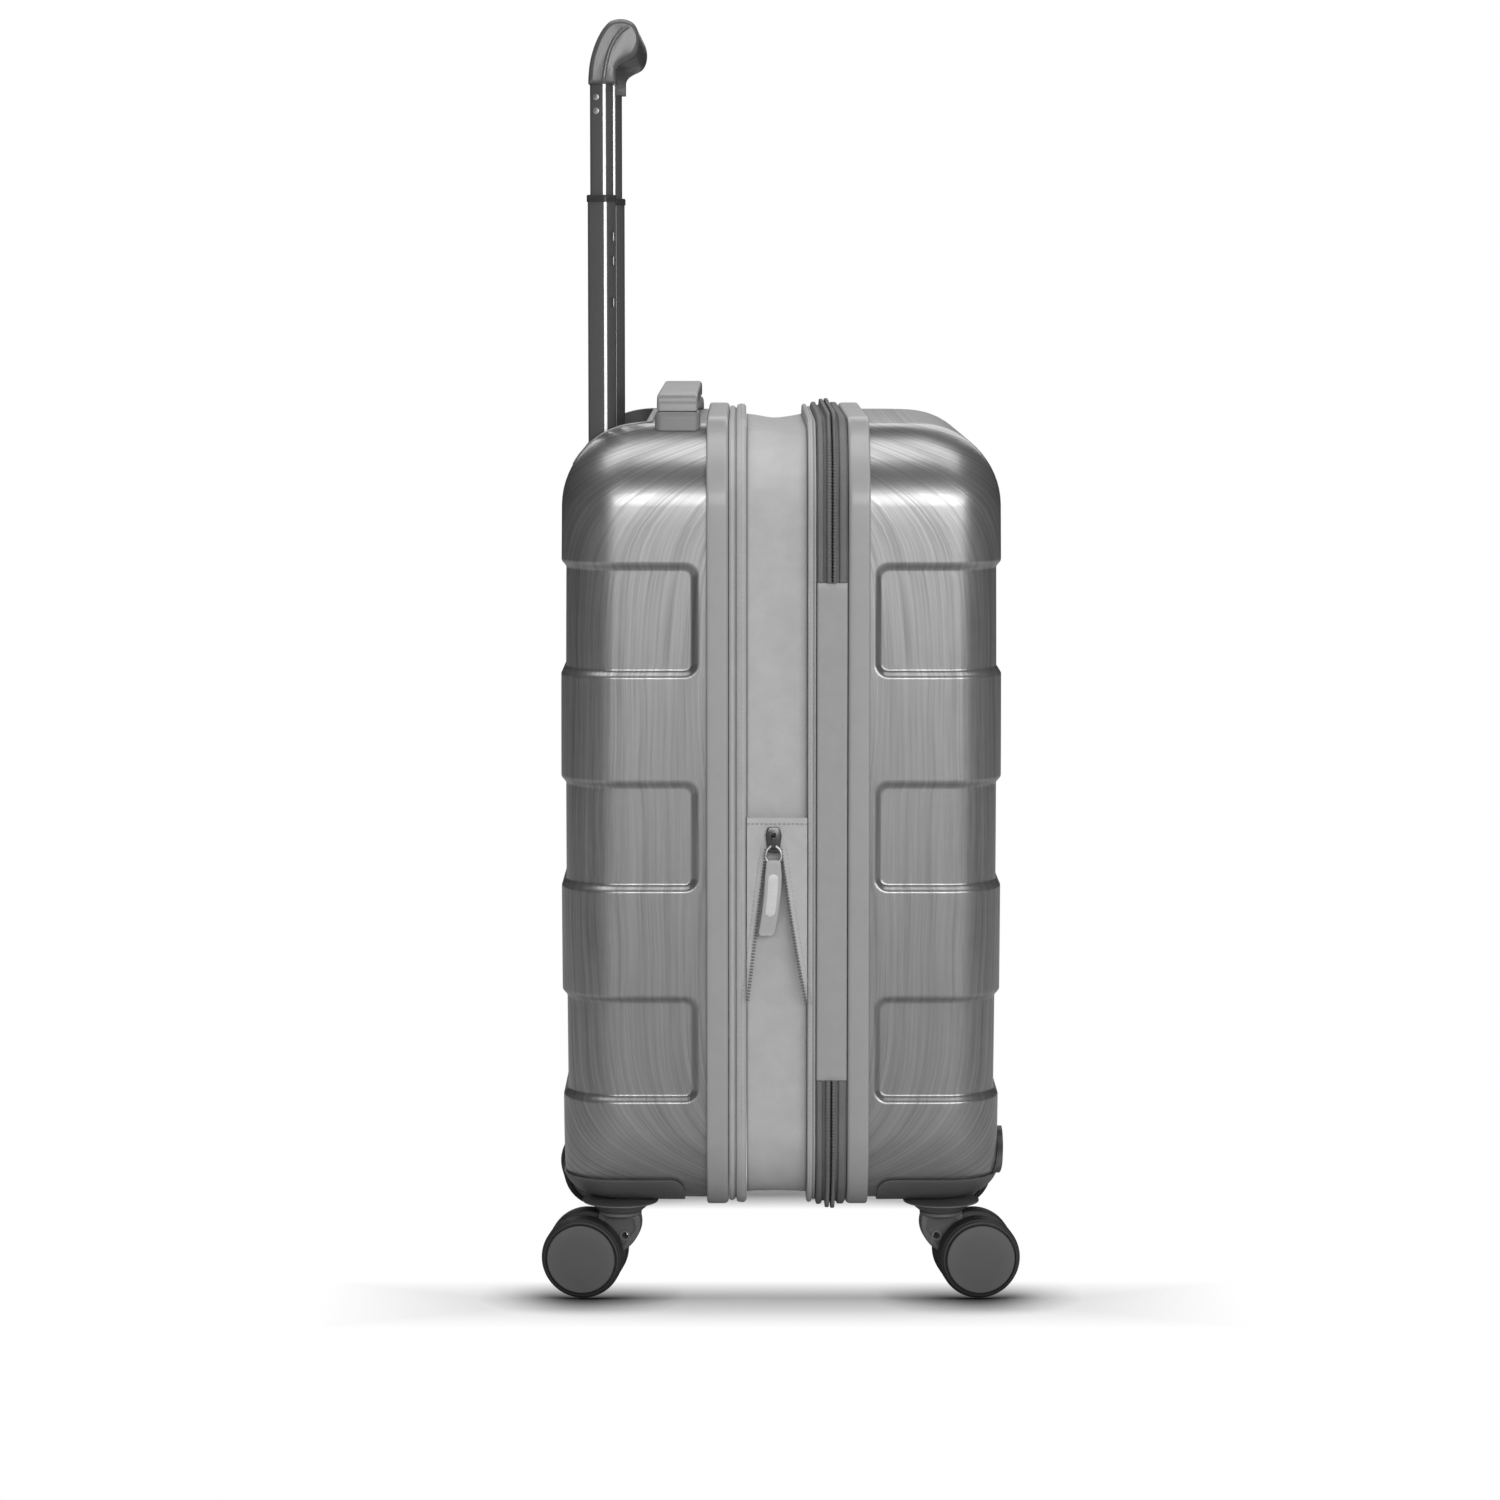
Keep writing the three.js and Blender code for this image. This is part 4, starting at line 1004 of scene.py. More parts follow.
def turned(shape: Shape, side: Side) -> Shape:
    """A front half's shape, turned about Z for the rear half."""
    return shape.moved(turn=180) if side is Side.REAR else shape


@dataclass
class Shell:
    """One hard shell with its sunk panels.

    Fields:
        side: Front or rear.
        rim: Distance of its open edge from the middle plane.
        panel_end: Where its panels end, from the middle plane.
    """

    side: Side
    rim: float
    panel_end: float

    def build(self, cutter: Shape) -> Object:
        """Makes the shell with one opening cut in it.

        Args:
            cutter: The solid that makes the opening.
        """
        name = f"{self.side.name.lower()}_shell"
        shape = turned(Tub(self.rim, 0.0, self.panel_end).walled(BODY.wall), self.side)
        obj = Maker.mesh(f"{name}_skin", shape, FIN.shell.material(), 50)
        Maker.cut(obj, [cutter], angle=50)
        return Maker.finish(obj, "case" if self.side is Side.REAR else "lid", "shell", name)


# ------------------------------------------------------------------ rings round the case


@dataclass(frozen=True)
class Station:
    """A place on the rim of the case and the direction away from it.

    Fields:
        y: Its place across the case.
        z: Its height.
        ny: The direction's Y.
        nz: The direction's Z.
        length: Distance along the run, for the UVs.
    """

    y: float
    z: float
    ny: float
    nz: float
    length: float = 0.0


def rim_stations(start: float, stop: float | None = None, corner_steps: int = 20,
                 step: float = 12.0) -> list[Station]:
    """Stations round the rim of the case, from the hinge side over the top.

    Args:
        start: Height on the hinge side where the run starts.
        stop: Height on the hinge side where it ends, or None for a whole ring.
        corner_steps: Facets in each corner.
        step: Longest distance between stations on the straight stretches.
    """
    w, r = BODY.half - BODY.edge_radius, BODY.edge_radius
    low, high = BODY.ground + r, BODY.top - r
    plain: list[tuple[float, float, float, float]] = [(-w - r, start, -1.0, 0.0)]
    for y, z, turn in ((-w, high, 180), (w, high, 90), (w, low, 0), (-w, low, -90)):
        for k in range(corner_steps + 1):
            a = math.radians(turn - 90 * k / corner_steps)
            plain.append((y + r * math.cos(a), z + r * math.sin(a), math.cos(a), math.sin(a)))
    plain.append((-w - r, start if stop is None else stop, -1.0, 0.0))
    out: list[Station] = []
    length = 0.0
    for a, b in zip(plain, plain[1:]):
        gap = math.dist(a[:2], b[:2])
        pieces = max(1, math.ceil(gap / step)) if gap > 0 else 0
        for k in range(pieces):
            t = k / pieces
            normal = Vector((a[2] * (1 - t) + b[2] * t, a[3] * (1 - t) + b[3] * t)).normalized()
            y, z = a[0] * (1 - t) + b[0] * t, a[1] * (1 - t) + b[1] * t
            out.append(Station(y, z, normal.x, normal.y, length + gap * t))
        length += gap
    if stop is not None:
        out.append(Station(*plain[-1], length))
    return out


Wave = Callable[[float, float, Station], Pair]


def swept(section: Outline, stations: Sequence[Station], ring: bool, wave: Wave | None = None) -> Shape:
    """Carries a section of X and outward offset along stations.

    Args:
        section: The closed section.
        stations: Where it goes.
        ring: Whether the run closes on itself.
        wave: Moves a section point at a station, given X, offset and station.
    """
    girth = [0.0]
    for a, b in zip(section, section[1:]):
        girth.append(girth[-1] + math.dist(a, b))
    rows, uv = [], []
    for s in stations:
        row = []
        for j, (x, o) in enumerate(section):
            if wave is not None:
                x, o = wave(x, o, s)
            row.append((x, s.y + s.ny * o, s.z + s.nz * o))
            uv.append((girth[j] * MM, s.length * MM))
        rows.append(row)
    shape = loft(rows, ring=ring)
    shape.uv = uv
    return shape


def rim_line(x: float, offset: float, stations: Sequence[Station],
             close: bool = False) -> tuple[list[Point], list[Point]]:
    """A line along stations and the outward direction at each of its points."""
    run = list(stations) + ([stations[0]] if close else [])
    return [(x, s.y + s.ny * offset, s.z + s.nz * offset) for s in run], [(0.0, s.ny, s.nz) for s in run]


@dataclass
class RimBand:
    """The moulded edging round one shell's rim.

    Fields:
        side: Which shell it belongs to.
        rim: Where it begins on the shell, in X.
        seam: Where it meets the flange or the zipper tape, in X.
        proud: How far it stands out of the shell.
        lip: How far it laps over the shell before it thickens inward.
    """

    side: Side
    rim: float
    seam: float
    proud: float = 4.2
    lip: float = 6.2

    def build(self) -> Object:
        """Makes the edging as one ring."""
        into = 1 if self.seam > self.rim else -1
        x0, x1 = self.rim, self.seam
        corners = [(x0, 0.3), (x0, self.proud), (x1, self.proud), (x1, -BODY.wall),
                   (x0 + into * self.lip, -BODY.wall), (x0 + into * self.lip, 0.3)]
        section = rounded(corners, [0.1, 3.4, 3.0, 0.6, 0.3, 0.1], 6)
        name = f"{self.side.name.lower()}_band"
        body = "case" if self.side is Side.REAR else "lid"
        ring = swept(section, rim_stations(RING_START), True)
        return Maker.piece(f"{name}_edging", ring, FIN.band, 50, body, "band", name)


@dataclass
class Flange:
    """The stiff coated-fabric strip that one edge of the gusset is sewn to.

    Fields:
        side: Which edge of the gusset.
        outer: Its edge away from the gusset, in X.
        inner: Its edge at the gusset, in X.
        depth: How far it goes inward.
        proud: How far it stands out at its highest.
    """

    side: Side
    outer: float
    inner: float
    depth: float = 6.0
    proud: float = 3.5

    def build(self) -> list[Object]:
        """Makes the strip, its piping and its stitches."""
        body = "case" if self.side is Side.REAR else "expansion_frame"
        to = 1 if self.inner > self.outer else -1
        if self.side is Side.REAR:
            groove = self.outer + to * 4.4
            corners = [(self.outer, -self.depth), (self.outer, 1.6), (self.outer + to * 1.6, 2.4),
                       (groove - to * 1.2, 1.9), (groove, 0.2), (groove + to * 0.6, 2.9),
                       (groove + to * 2.6, self.proud), (self.inner - to * 1.4, self.proud),
                       (self.inner, 2.0), (self.inner, -self.depth)]
            seam = groove + to * 3.4
        else:
            corners = [(self.outer, -self.depth), (self.outer, 1.2), (self.outer + to * 0.8, 2.4),
                       (self.outer + to * 1.7, 0.9), (self.outer + to * 2.3, 3.0),
                       (self.inner - to * 0.8, self.proud), (self.inner, 2.4), (self.inner, -self.depth)]
            seam = self.inner - to * 1.6
        section = rounded(corners, 0.7, 3)
        stations = rim_stations(RING_START, step=6.0)

        def wave(x: float, o: float, s: Station) -> Pair:
            """Moves a point of the section at a station."""
            if o < 0:
                return x, o
            return x, o + 0.28 * noise.noise(Vector((x * 0.12, s.y * 0.035, s.z * 0.035)))

        name = f"{self.side.name.lower()}_flange"
        ring = swept(section, stations, True, wave)
        strip = Maker.piece(f"{name}_strip", ring, FIN.flange, 60, body, "fabric", name)
        path, outward = rim_line(seam, self.proud - 0.05, stations, close=True)
        stitches = BeadRow(f"{name}_stitches", path, outward, 3.1, (2.3, 0.5, 0.4), FIN.thread)
        return [strip, stitches.build(body, "fabric")]


@dataclass
class Gusset:
    """The cloth between the flanges, a little slack.

    Fields:
        sink: How far it lies inside the case's outline.
        belly: How far it bulges between its edges.
        thick: Thickness of the cloth.
    """

    sink: float = 3.4
    belly: float = 1.4
    thick: float = 0.9

    def slack(self, x: float, s: Station) -> float:
        """How far the cloth stands out of its plane at a place."""
        t = (x - SEAMS.gusset_rear) / (SEAMS.gusset_front - SEAMS.gusset_rear)
        held = math.sin(math.pi * min(1.0, max(0.0, t)))
        at = Vector((x * 0.022, s.y * 0.012, s.z * 0.0085))
        long_fold = noise.noise(at + Vector((3.1, 0.4, 7.7)))
        diagonal = noise.noise(Vector(((x + 0.35 * s.z) * 0.035, s.y * 0.02, s.z * 0.012)))
        fine = noise.noise(Vector((x * 0.11, s.y * 0.05, s.z * 0.05)))
        return held * (1.5 * long_fold + 1.0 * diagonal + 0.28 * fine)

    def build(self) -> Object:
        """Makes the ring of cloth."""
        left, right = SEAMS.gusset_rear + 0.3, SEAMS.gusset_front - 0.3
        across = [left + (right - left) * k / 22 for k in range(23)]
        outer = [(x, -self.sink - self.belly * math.sin(math.pi * k / 22)) for k, x in enumerate(across)]
        section = outer + [(x, o - self.thick) for x, o in reversed(outer)]
        stations = rim_stations(RING_START, corner_steps=16, step=5.0)

        def wave(x: float, o: float, s: Station) -> Pair:
            """Moves a point of the section at a station."""
            return x, o + self.slack(x, s)

        ring = swept(section, stations, True, wave)
        obj = Maker.piece("gusset_cloth", ring, FIN.gusset, 180, "case", "fabric", "gusset")
        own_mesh(obj)
        return obj


@dataclass
class HingeStrip:
    """The fabric hinge that covers the main zipper's gap on the hinge side.

    Fields:
        length: Length of the strip.
        middle: Height of its middle.
        proud: How far it stands out of the case's side.
    """

    length: float = 310.0
    middle: float = 300.0
    proud: float = 4.4

    def build(self) -> Object:
        """Makes the strip as one padded band."""
        x0, x1 = SEAMS.zipper_rear, SEAMS.zipper_front
        corners = [(x0, -3.0), (x0, self.proud), (x1, self.proud), (x1, -3.0)]
        section = rounded(corners, [0.1, 1.7, 1.7, 0.1], 6)
        ends = [self.middle - self.length / 2, self.middle + self.length / 2]
        between = np.linspace(ends[0] + 4, ends[1] - 4, 60)
        heights = [ends[0], ends[0] + 0.5, *between, ends[1] - 0.5, ends[1]]
        stations = [Station(-BODY.half, z, -1.0, 0.0, z) for z in heights]

        def wave(x: float, o: float, s: Station) -> Pair:
            """Moves a point of the section at a station."""
            if o < 0:
                return x, o
            end = 0.4 if s.z in (ends[0], ends[1]) else 0.0
            return x, o - end + 0.22 * noise.noise(Vector((x * 0.08, 3.0, s.z * 0.02)))

        strip = swept(section, stations, False, wave)
        return Maker.piece("hinge_cover", strip, FIN.hinge, 50, "expansion_frame", "fabric", "hinge_strip")


@dataclass
class MainZipper:
    """One half of the main zipper: its tape, a raised cord and half of the coil.

    Fields:
        name: Name of the solid that it stands for.
        body: The body that it rides on.
        edge: Its sewn edge, in X.
        split: Its edge at the other half, in X.
        ridges: Place in X, width and height of each ridge, the coil last.
        hinge: The hinge strip that it stops at.
    """

    name: str
    body: str
    edge: float
    split: float
    ridges: list[Point]
    hinge: HingeStrip = field(default_factory=HingeStrip)

    def build(self) -> list[Object]:
        """Makes the tape and its teeth."""
        to = 1 if self.split > self.edge else -1
        corners: Outline = [(self.edge, -3.0), (self.edge, 2.4)]
        for centre, width, height in self.ridges:
            corners += [(centre - to * width / 2, 2.6), (centre - to * width * 0.32, height),
                        (centre + to * width * 0.32, height), (centre + to * width / 2, 2.6)]
        corners += [(self.split, 3.0), (self.split, -3.0)]
        section = rounded(corners, 0.8, 3)
        top = self.hinge.middle + self.hinge.length / 2 + 0.3
        low = self.hinge.middle - self.hinge.length / 2 - 0.3
        stations = rim_stations(top, low, corner_steps=18, step=6.0)

        def wave(x: float, o: float, s: Station) -> Pair:
            """Moves a point of the section at a station."""
            if o < 2:
                return x, o
            x_wave = 0.25 * noise.noise(Vector((x * 0.1, s.y * 0.02, s.z * 0.02)))
            return x + x_wave, o + 0.5 * noise.noise(Vector((x * 0.2, s.y * 0.03, s.z * 0.03)))

        strip = swept(section, stations, False, wave)
        tape = Maker.piece(f"{self.name}_tape", strip, FIN.tape, 60, self.body, "fabric", self.name)
        centre, _, height = self.ridges[-1]
        path, outward = rim_line(centre, height + 0.1, stations)
        teeth = BeadRow(f"{self.name}_teeth", path, outward, 2.0, (1.15, 2.6, 1.1), FIN.cord)
        return [tape, teeth.build(self.body, "fabric")]


# ------------------------------------------------------------------ expansion zipper


@dataclass
class ExpansionTape:
    """The two ends of the expansion zipper, parted below the slider like an upturned V.

    Fields:
        surface: Distance of the tape's outer face from the middle, toward negative Y.
        thick: Thickness of the cloth.
        slider_z: Height where the two legs part, below the slider.
        apex: Height of the seam above the slider.
        left: Points of the left leg's edge from the slider down.
        right: The same for the right leg.
    """

    surface: float = 178.3
    thick: float = 1.0
    apex: float = 307.0
    slider_z: float = 290.0
    left: tuple = ((-10.0, 290.0), (-14.0, 262.0), (-17.0, 232.0), (-21.4, 196.0))
    right: tuple = ((0.0, 290.0), (4.0, 262.0), (8.0, 232.0), (15.8, 194.0))

    def leg(self, points: tuple) -> Outline:
        """A leg's edge as a smooth line."""
        return [points[0]] + bezier(*points, steps=26)

    def curtain(self, sign: int) -> Shape:
        """The cloth between one leg and its flange.

        Args:
            sign: -1 for the left leg, 1 for the right one.

        Returns:
            The cloth as a closed shape.
        """
        edge = self.leg(self.left if sign < 0 else self.right)
        outer_x = SEAMS.gusset_rear + 0.3 if sign < 0 else SEAMS.gusset_front - 0.3
        rows = []
        for x, z in edge:
            row = []
            free = smooth_step((self.slider_z - z) / 10)
            for k in range(9):
                t = k / 8
                px = outer_x * (1 - t) + x * t
                wave = 0.9 * math.sin(math.pi * t) * noise.noise(Vector((px * 0.06, 1.7 * sign, z * 0.035)))
                roll = 0.7 * smooth_step((t - 0.72) / 0.28)
                row.append((px, -self.surface + free * (wave - roll), z))
            rows.append(row)
        back = [[(x, y + self.thick, z) for x, y, z in reversed(row)] for row in rows]
        shape = loft([a + b for a, b in zip(rows, back)])
        shape.uv = [(p[0] * MM, p[2] * MM) for p in shape.points]
        return shape

    def cover(self) -> Shape:
        """The sewn-down cloth across the gusset above the slider."""
        left, right = SEAMS.gusset_rear + 0.3, SEAMS.gusset_front - 0.3
        rows = []
        for k in range(9):
            z = self.slider_z - 0.5 + (self.apex - self.slider_z + 3) * k / 8
            front = [(left + (right - left) * j / 16, -self.surface - 0.15 * math.sin(j * 1.3 + k), z)
                     for j in range(17)]
            rows.append(front + [(x, y + self.thick, z) for x, y, z in reversed(front)])
        shape = loft(rows)
        shape.uv = [(p[0] * MM, p[2] * MM) for p in shape.points]
        return shape

    def build(self) -> list[Object]:
        """Makes the cover, both curtains, their teeth and the seam's stitches."""
        made = []
        for name, shape in (("cover", self.cover()), ("curtain_left", self.curtain(-1)),
                            ("curtain_right", self.curtain(1))):
            obj = Maker.mesh(f"expansion_{name}", shape, FIN.gusset.material(), 60)
            made.append(Maker.finish(obj, "case", "fabric", *(["expansion_tape"] if name == "cover" else [])))
        for name, leg, way in (("left", self.leg(self.left), 1), ("right", self.leg(self.right), -1)):
            path = [(x + way * 0.5, -self.surface - 1.3, z) for x, z in leg]
            outward = [(0.0, -1.0, 0.0)] * len(path)
            teeth = BeadRow(f"expansion_teeth_{name}", path, outward, 1.9, (1.1, 2.4, 1.2), FIN.cord)
            made.append(teeth.build("case", "fabric"))
            inner = [(x - way * 3.0, -self.surface - 0.1, z) for x, z in leg]
            stitches = BeadRow(f"expansion_stitches_{name}", inner, outward, 2.9, (2.1, 0.45, 0.4),
                               FIN.thread)
            made.append(stitches.build("case", "fabric"))
        line = [(SEAMS.gusset_rear + 1 + 36 * k / 20, -self.surface - 0.25, self.apex - 1.2)
                for k in range(21)]
        seam = BeadRow("expansion_seam", line, [(0.0, -1.0, 0.0)] * 21, 2.7, (2.0, 0.5, 0.5), FIN.tape)
        made.append(seam.build("case", "fabric"))
        for obj in made:
            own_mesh(obj)
        return made


@dataclass
class Slider:
    """The expansion slider, its ring and its soft pull tab.

    Fields:
        x: Place of the slider.
        z: Its height.
        back: Distance of the slider's back from the middle plane.
        plate: Thickness of its plate.
        ring_radius: Radius of the ring.
        wire: Half the thickness of the ring's wire.
        pivot_y: Where the ring hangs in the bridge.
        pivot_z: The height of that place.
        tab_width: Width of the tab.
        tab_length: Its length.
        tab_thick: Its thickness.
    """

    x: float = -5.0
    z: float = 296.0
    back: float = 178.7
    plate: float = 1.6
    ring_radius: float = 5.2
    wire: float = 0.8
    pivot_y: float = -181.5
    pivot_z: float = 292.5
    tab_width: float = 10.5
    tab_length: float = 47.0
    tab_thick: float = 2.6

    def slider(self) -> Object:
        """Makes the slider's two plates, its bridge and its nose."""
        outline = [(-3.6, 8.0), (3.6, 8.0), (5.0, 3.0), (4.2, -4.0), (3.8, -8.0), (-3.8, -8.0),
                   (-4.2, -4.0), (-5.0, 3.0)]
        body = along_y(prism(rounded(outline, 2.0, 5), 0, self.plate, 0.5, 3))
        body = body.moved(self.x, -self.back, self.z)
        profile = [(-5.2, 0.0), (-5.2, 1.8), (-4.4, 3.2), (2.2, 3.6), (4.4, 2.5), (5.0, 0.0),
                   (3.6, 0.0), (3.2, 1.5), (1.8, 2.6), (-3.2, 2.4), (-3.9, 1.4), (-3.9, 0.0)]
        strap = prism(rounded(profile, 0.35, 2), -1.4, 1.4, 0.35, 2)
        outer = -self.back - self.plate + 0.3
        whole = body.joined(strap.mapped(lambda p: (self.x + p[2], outer - p[1], self.z - 0.5 + p[0])))
        return Maker.piece("expansion_slider_body", whole, FIN.dark_metal, 40, "expansion_slider",
                           "dark_metal", "expansion_slider")

    def ring(self) -> Object:
        """Makes the ring through the bridge, a little pear-shaped."""
        r = self.ring_radius
        path = []
        for k in range(48):
            a = 2 * math.pi * k / 48
            pull = 1 + 0.12 * max(0.0, math.sin(a))
            z = self.pivot_z - 1.12 * r + r * math.sin(a) * pull
            path.append((self.x + r * math.cos(a) * 0.94, self.pivot_y, z))
        wire = tube_along(path, self.wire, 10, ring=True)
        return Maker.piece("puller_ring", wire, FIN.steel, 60, "puller", "steel", "pull_ring")

    def tab(self) -> list[Object]:
        """Makes the soft tab, bent a little aside at its lower end, with a smooth raised field."""
        top = self.pivot_z - 2.12 * self.ring_radius + 2.2

        def bent(p: Point) -> Point:
            """A point of the straight tab, bent aside and hung on the ring."""
            t = -p[2] / self.tab_length
            lean = -4.6 * t**2.2
            return (self.x + p[0] + lean, self.pivot_y + p[1] - 0.4 * math.sin(math.pi * t), top + p[2])

        rows = []
        for k in range(41):
            t = k / 40
            taper = 0.86 + 0.14 * smooth_step(t * 4)
            end = math.sqrt(max(0.0, 1 - max(0.0, 1 - t * 20) ** 2)) * 0.35 + 0.65
            last = math.sqrt(max(0.0, 1 - max(0.0, (t - 0.95) * 20) ** 2)) * 0.25 + 0.75
            thin = self.tab_thick * (1.0 - 0.25 * t)
            outline = rounded_box(self.tab_width * taper * end * last, thin, 1.1, 4)
            rows.append([bent((x, y, -self.tab_length * t)) for x, y in outline])
        made = [Maker.mesh("puller_tab", loft(rows), FIN.puller.material(), 50)]
        field_rows = []
        for k in range(21):
            t = k / 20
            width = 6.2 * math.sqrt(max(0.02, 1 - abs(2 * t - 1) ** 14))
            outline = [(-width / 2, -1.35), (width / 2, -1.35), (width / 2, -0.9), (-width / 2, -0.9)]
            field_rows.append([bent((x, y, -8.5 - 26.5 * t)) for x, y in rounded(outline, 0.2, 2)])
        made.append(Maker.mesh("puller_field", loft(field_rows), FIN.puller_field.material(), 50))
        for obj, nodes in zip(made, (["pull_tab"], [])):
            Maker.finish(obj, "puller", "puller", *nodes)
        return made

    def build(self) -> None:
        """Makes slider, ring and tab."""
        self.slider()
        self.ring()
        self.tab()


@dataclass
class MainSlider:
    """One slider of the main zipper with its flat pull, on the lock side.

    Fields:
        name: Name of the solid that it stands for.
        z: Its height.
        face: Distance of the solid's outer face from the middle; the pull reaches 1 mm past it.
        x: Its place.
    """

    name: str
    z: float
    face: float = 183.9
    x: float = 31.15

    def build(self) -> Object:
        """Makes the slider's body and its pull."""
        body = prism(rounded_box(9, 14, 3), 0, 2.0, 0.6, 3)
        body = body.mapped(lambda p: (self.x + p[0], self.face - 2.4 + p[2], self.z + p[1]))
        outline = [(-3, -3), (6, -2.6), (9, -4), (27, -4), (30, 0), (27, 4), (9, 4), (6, 2.6), (-3, 3)]
        pull = prism(rounded(outline, 1.6, 4), 0, 1.4, 0.45, 3)
        whole = body.joined(pull.mapped(lambda p: (self.x + p[0], self.face - 0.35 + p[2], self.z + p[1])))
        return Maker.piece(f"{self.name}_body", whole, FIN.dark_metal, 40, self.name, "dark_metal", self.name)


# ------------------------------------------------------------------ trolley handle


@dataclass
class Trolley:
    """The telescoping tubes and their collars.

    Fields:
        centre_x: Place of the tubes.
        spacing: Distance between the middles of the left and the right tubes.
        wall: Thickness of a tube's wall.
        middle: Depth and width of a middle tube.
        inner: The same for an inner tube.
        middle_span: Lower and upper end of a middle tube.
        inner_span: The same for an inner tube.
        hole_heights: Where the latch holes are.
        hole_aside: Distance of the narrow holes from the tube's middle.
        rivet_heights: Where the rivets are.
    """

    centre_x: float = -112.4
    spacing: float = 200.0
    wall: float = 1.3
    middle: Pair = (17.3, 23.8)
    inner: Pair = (14.1, 20.6)
    middle_span: Pair = (352.0, 689.7)
    inner_span: Pair = (432.0, 770.7)
    hole_heights: tuple[float, ...] = (667.0, 652.0, 626.0)
    hole_aside: float = 6.2
    rivet_heights: tuple[float, ...] = (753.7, 745.1)

    def section(self, size: Pair) -> Outline:
        """A tube from above: flat long sides, and each end two facets that meet in a ridge."""
        w, h = size[0] / 2, size[1] / 2
        ridge, rear, front = 0.3 * w, h - 0.42 * w, h - 0.62 * w
        corners = [(-w, -rear), (ridge, -h), (w, -front), (w, front), (ridge, h), (-w, rear)]
        return rounded(corners, [2.4, 2.8, 2.6, 2.6, 2.8, 2.4], 6)

    @staticmethod
    def polish(tube: Object) -> None:
        """Gives the ridges of a tube's ends a light grey material, a painted highlight along each ridge."""
        tube.data.materials.append(FIN.tube_ridge.material())
        for polygon in tube.data.polygons:
            aside = math.degrees(math.atan2(polygon.normal.x, abs(polygon.normal.y)))
            # painted highlight: polygons round each end's ridge get the light-toned material
            if abs(polygon.normal.z) < 0.1 and -8 < aside < 32:
                polygon.material_index = 1

    def tube(self, size: Pair, span: Pair, hand: Hand) -> Shape:
        """One hollow tube."""
        rows = []
        low, high = span
        for shrink, z in ((0.0, low), (0.0, high - 0.25), (0.25, high), (self.wall, high), (self.wall, low)):
            outline = self.section((size[0] - 2 * shrink, size[1] - 2 * shrink))
            rows.append([(x + self.centre_x, y + hand.value * self.spacing / 2, z) for x, y in outline])
        return loft(rows, ring=True)

    def stage(self, hand: Hand) -> None:
        """Makes the middle and inner tubes of one side, with latch holes, rivets and the collar."""
        side = hand.name.lower()
        y = hand.value * self.spacing / 2
        shape = self.tube(self.middle, self.middle_span, hand)
        middle = Maker.mesh(f"middle_tube_{side}_skin", shape, FIN.tube.material(), 20)
        inward, outward = (y - s * hand.value * self.middle[1] / 2 for s in (1, -1))
        round_hole = along_y(prism(rounded_box(6.0, 6.4, 2.6, 5), -3, 3))
        narrow_hole = along_y(prism(rounded_box(3.2, 6.4, 1.5, 5), -6, 6))
        aside = self.centre_x + self.hole_aside
        holes = [round_hole.moved(self.centre_x, inward, z) for z in self.hole_heights]
        holes += [narrow_hole.moved(aside, outward, z) for z in self.hole_heights]
        Maker.cut(middle, holes, angle=20)
        self.polish(middle)
        Maker.finish(middle, "trolley_middle", "tube", f"middle_tube_{side}")
        shape = self.tube(self.inner, self.inner_span, hand)
        inner = Maker.mesh(f"inner_tube_{side}_skin", shape, FIN.tube.material(), 20)
        self.polish(inner)
        Maker.finish(inner, "trolley_top", "tube", f"inner_tube_{side}")
        self.rivets(hand)
        self.collar(hand)

    def rivets(self, hand: Hand) -> None:
        """Makes the two rivet heads on the rear facet of one inner tube."""
        w, h = self.inner[0] / 2, self.inner[1] / 2
        slope = math.atan2(0.42 * w, 1.3 * w)
        centre = (self.centre_x - 0.45 * w, hand.value * (self.spacing / 2 + h - 0.42 * w * 0.58 - 0.28))
        heads = Shape()
        for z in self.rivet_heights:
            head = revolved([(0, 0), (2.1, 0), (2.0, 0.3), (1.3, 0.5), (0, 0.52)], 24)
            head = head.mapped(lambda p: (p[0], p[2], p[1])).moved(turn=math.degrees(slope))
            head = head.mapped(lambda p: (p[0], hand.value * p[1], p[2]))
            heads = heads.joined(head.moved(*centre, z))
        Maker.piece(f"rivets_{hand.name.lower()}", heads, FIN.steel, 40, "trolley_top", "steel")

    def collar(self, hand: Hand) -> None:
        """Makes the plastic collar on a middle tube."""
        side = hand.name.lower()
        y = hand.value * self.spacing / 2
        rows = []
        for grow, z in ((0.15, 688.6), (0.5, 688.6), (0.62, 689.2), (0.62, 692.3), (0.2, 693.0),
                        (-0.65, 693.0), (-0.65, 690.0), (0.12, 689.9)):
            outline = self.section((self.middle[0] + 2 * grow, self.middle[1] + 2 * grow))
            rows.append([(px + self.centre_x, py + y, z) for px, py in outline])
        Maker.piece(f"collar_{side}", loft(rows, ring=True), FIN.black_plastic, 40, "trolley_middle",
                    "dark_plastic", f"stage_collar_{side}")

    def build(self) -> None:
        """Makes both sides."""
        for hand in Hand:
            self.stage(hand)


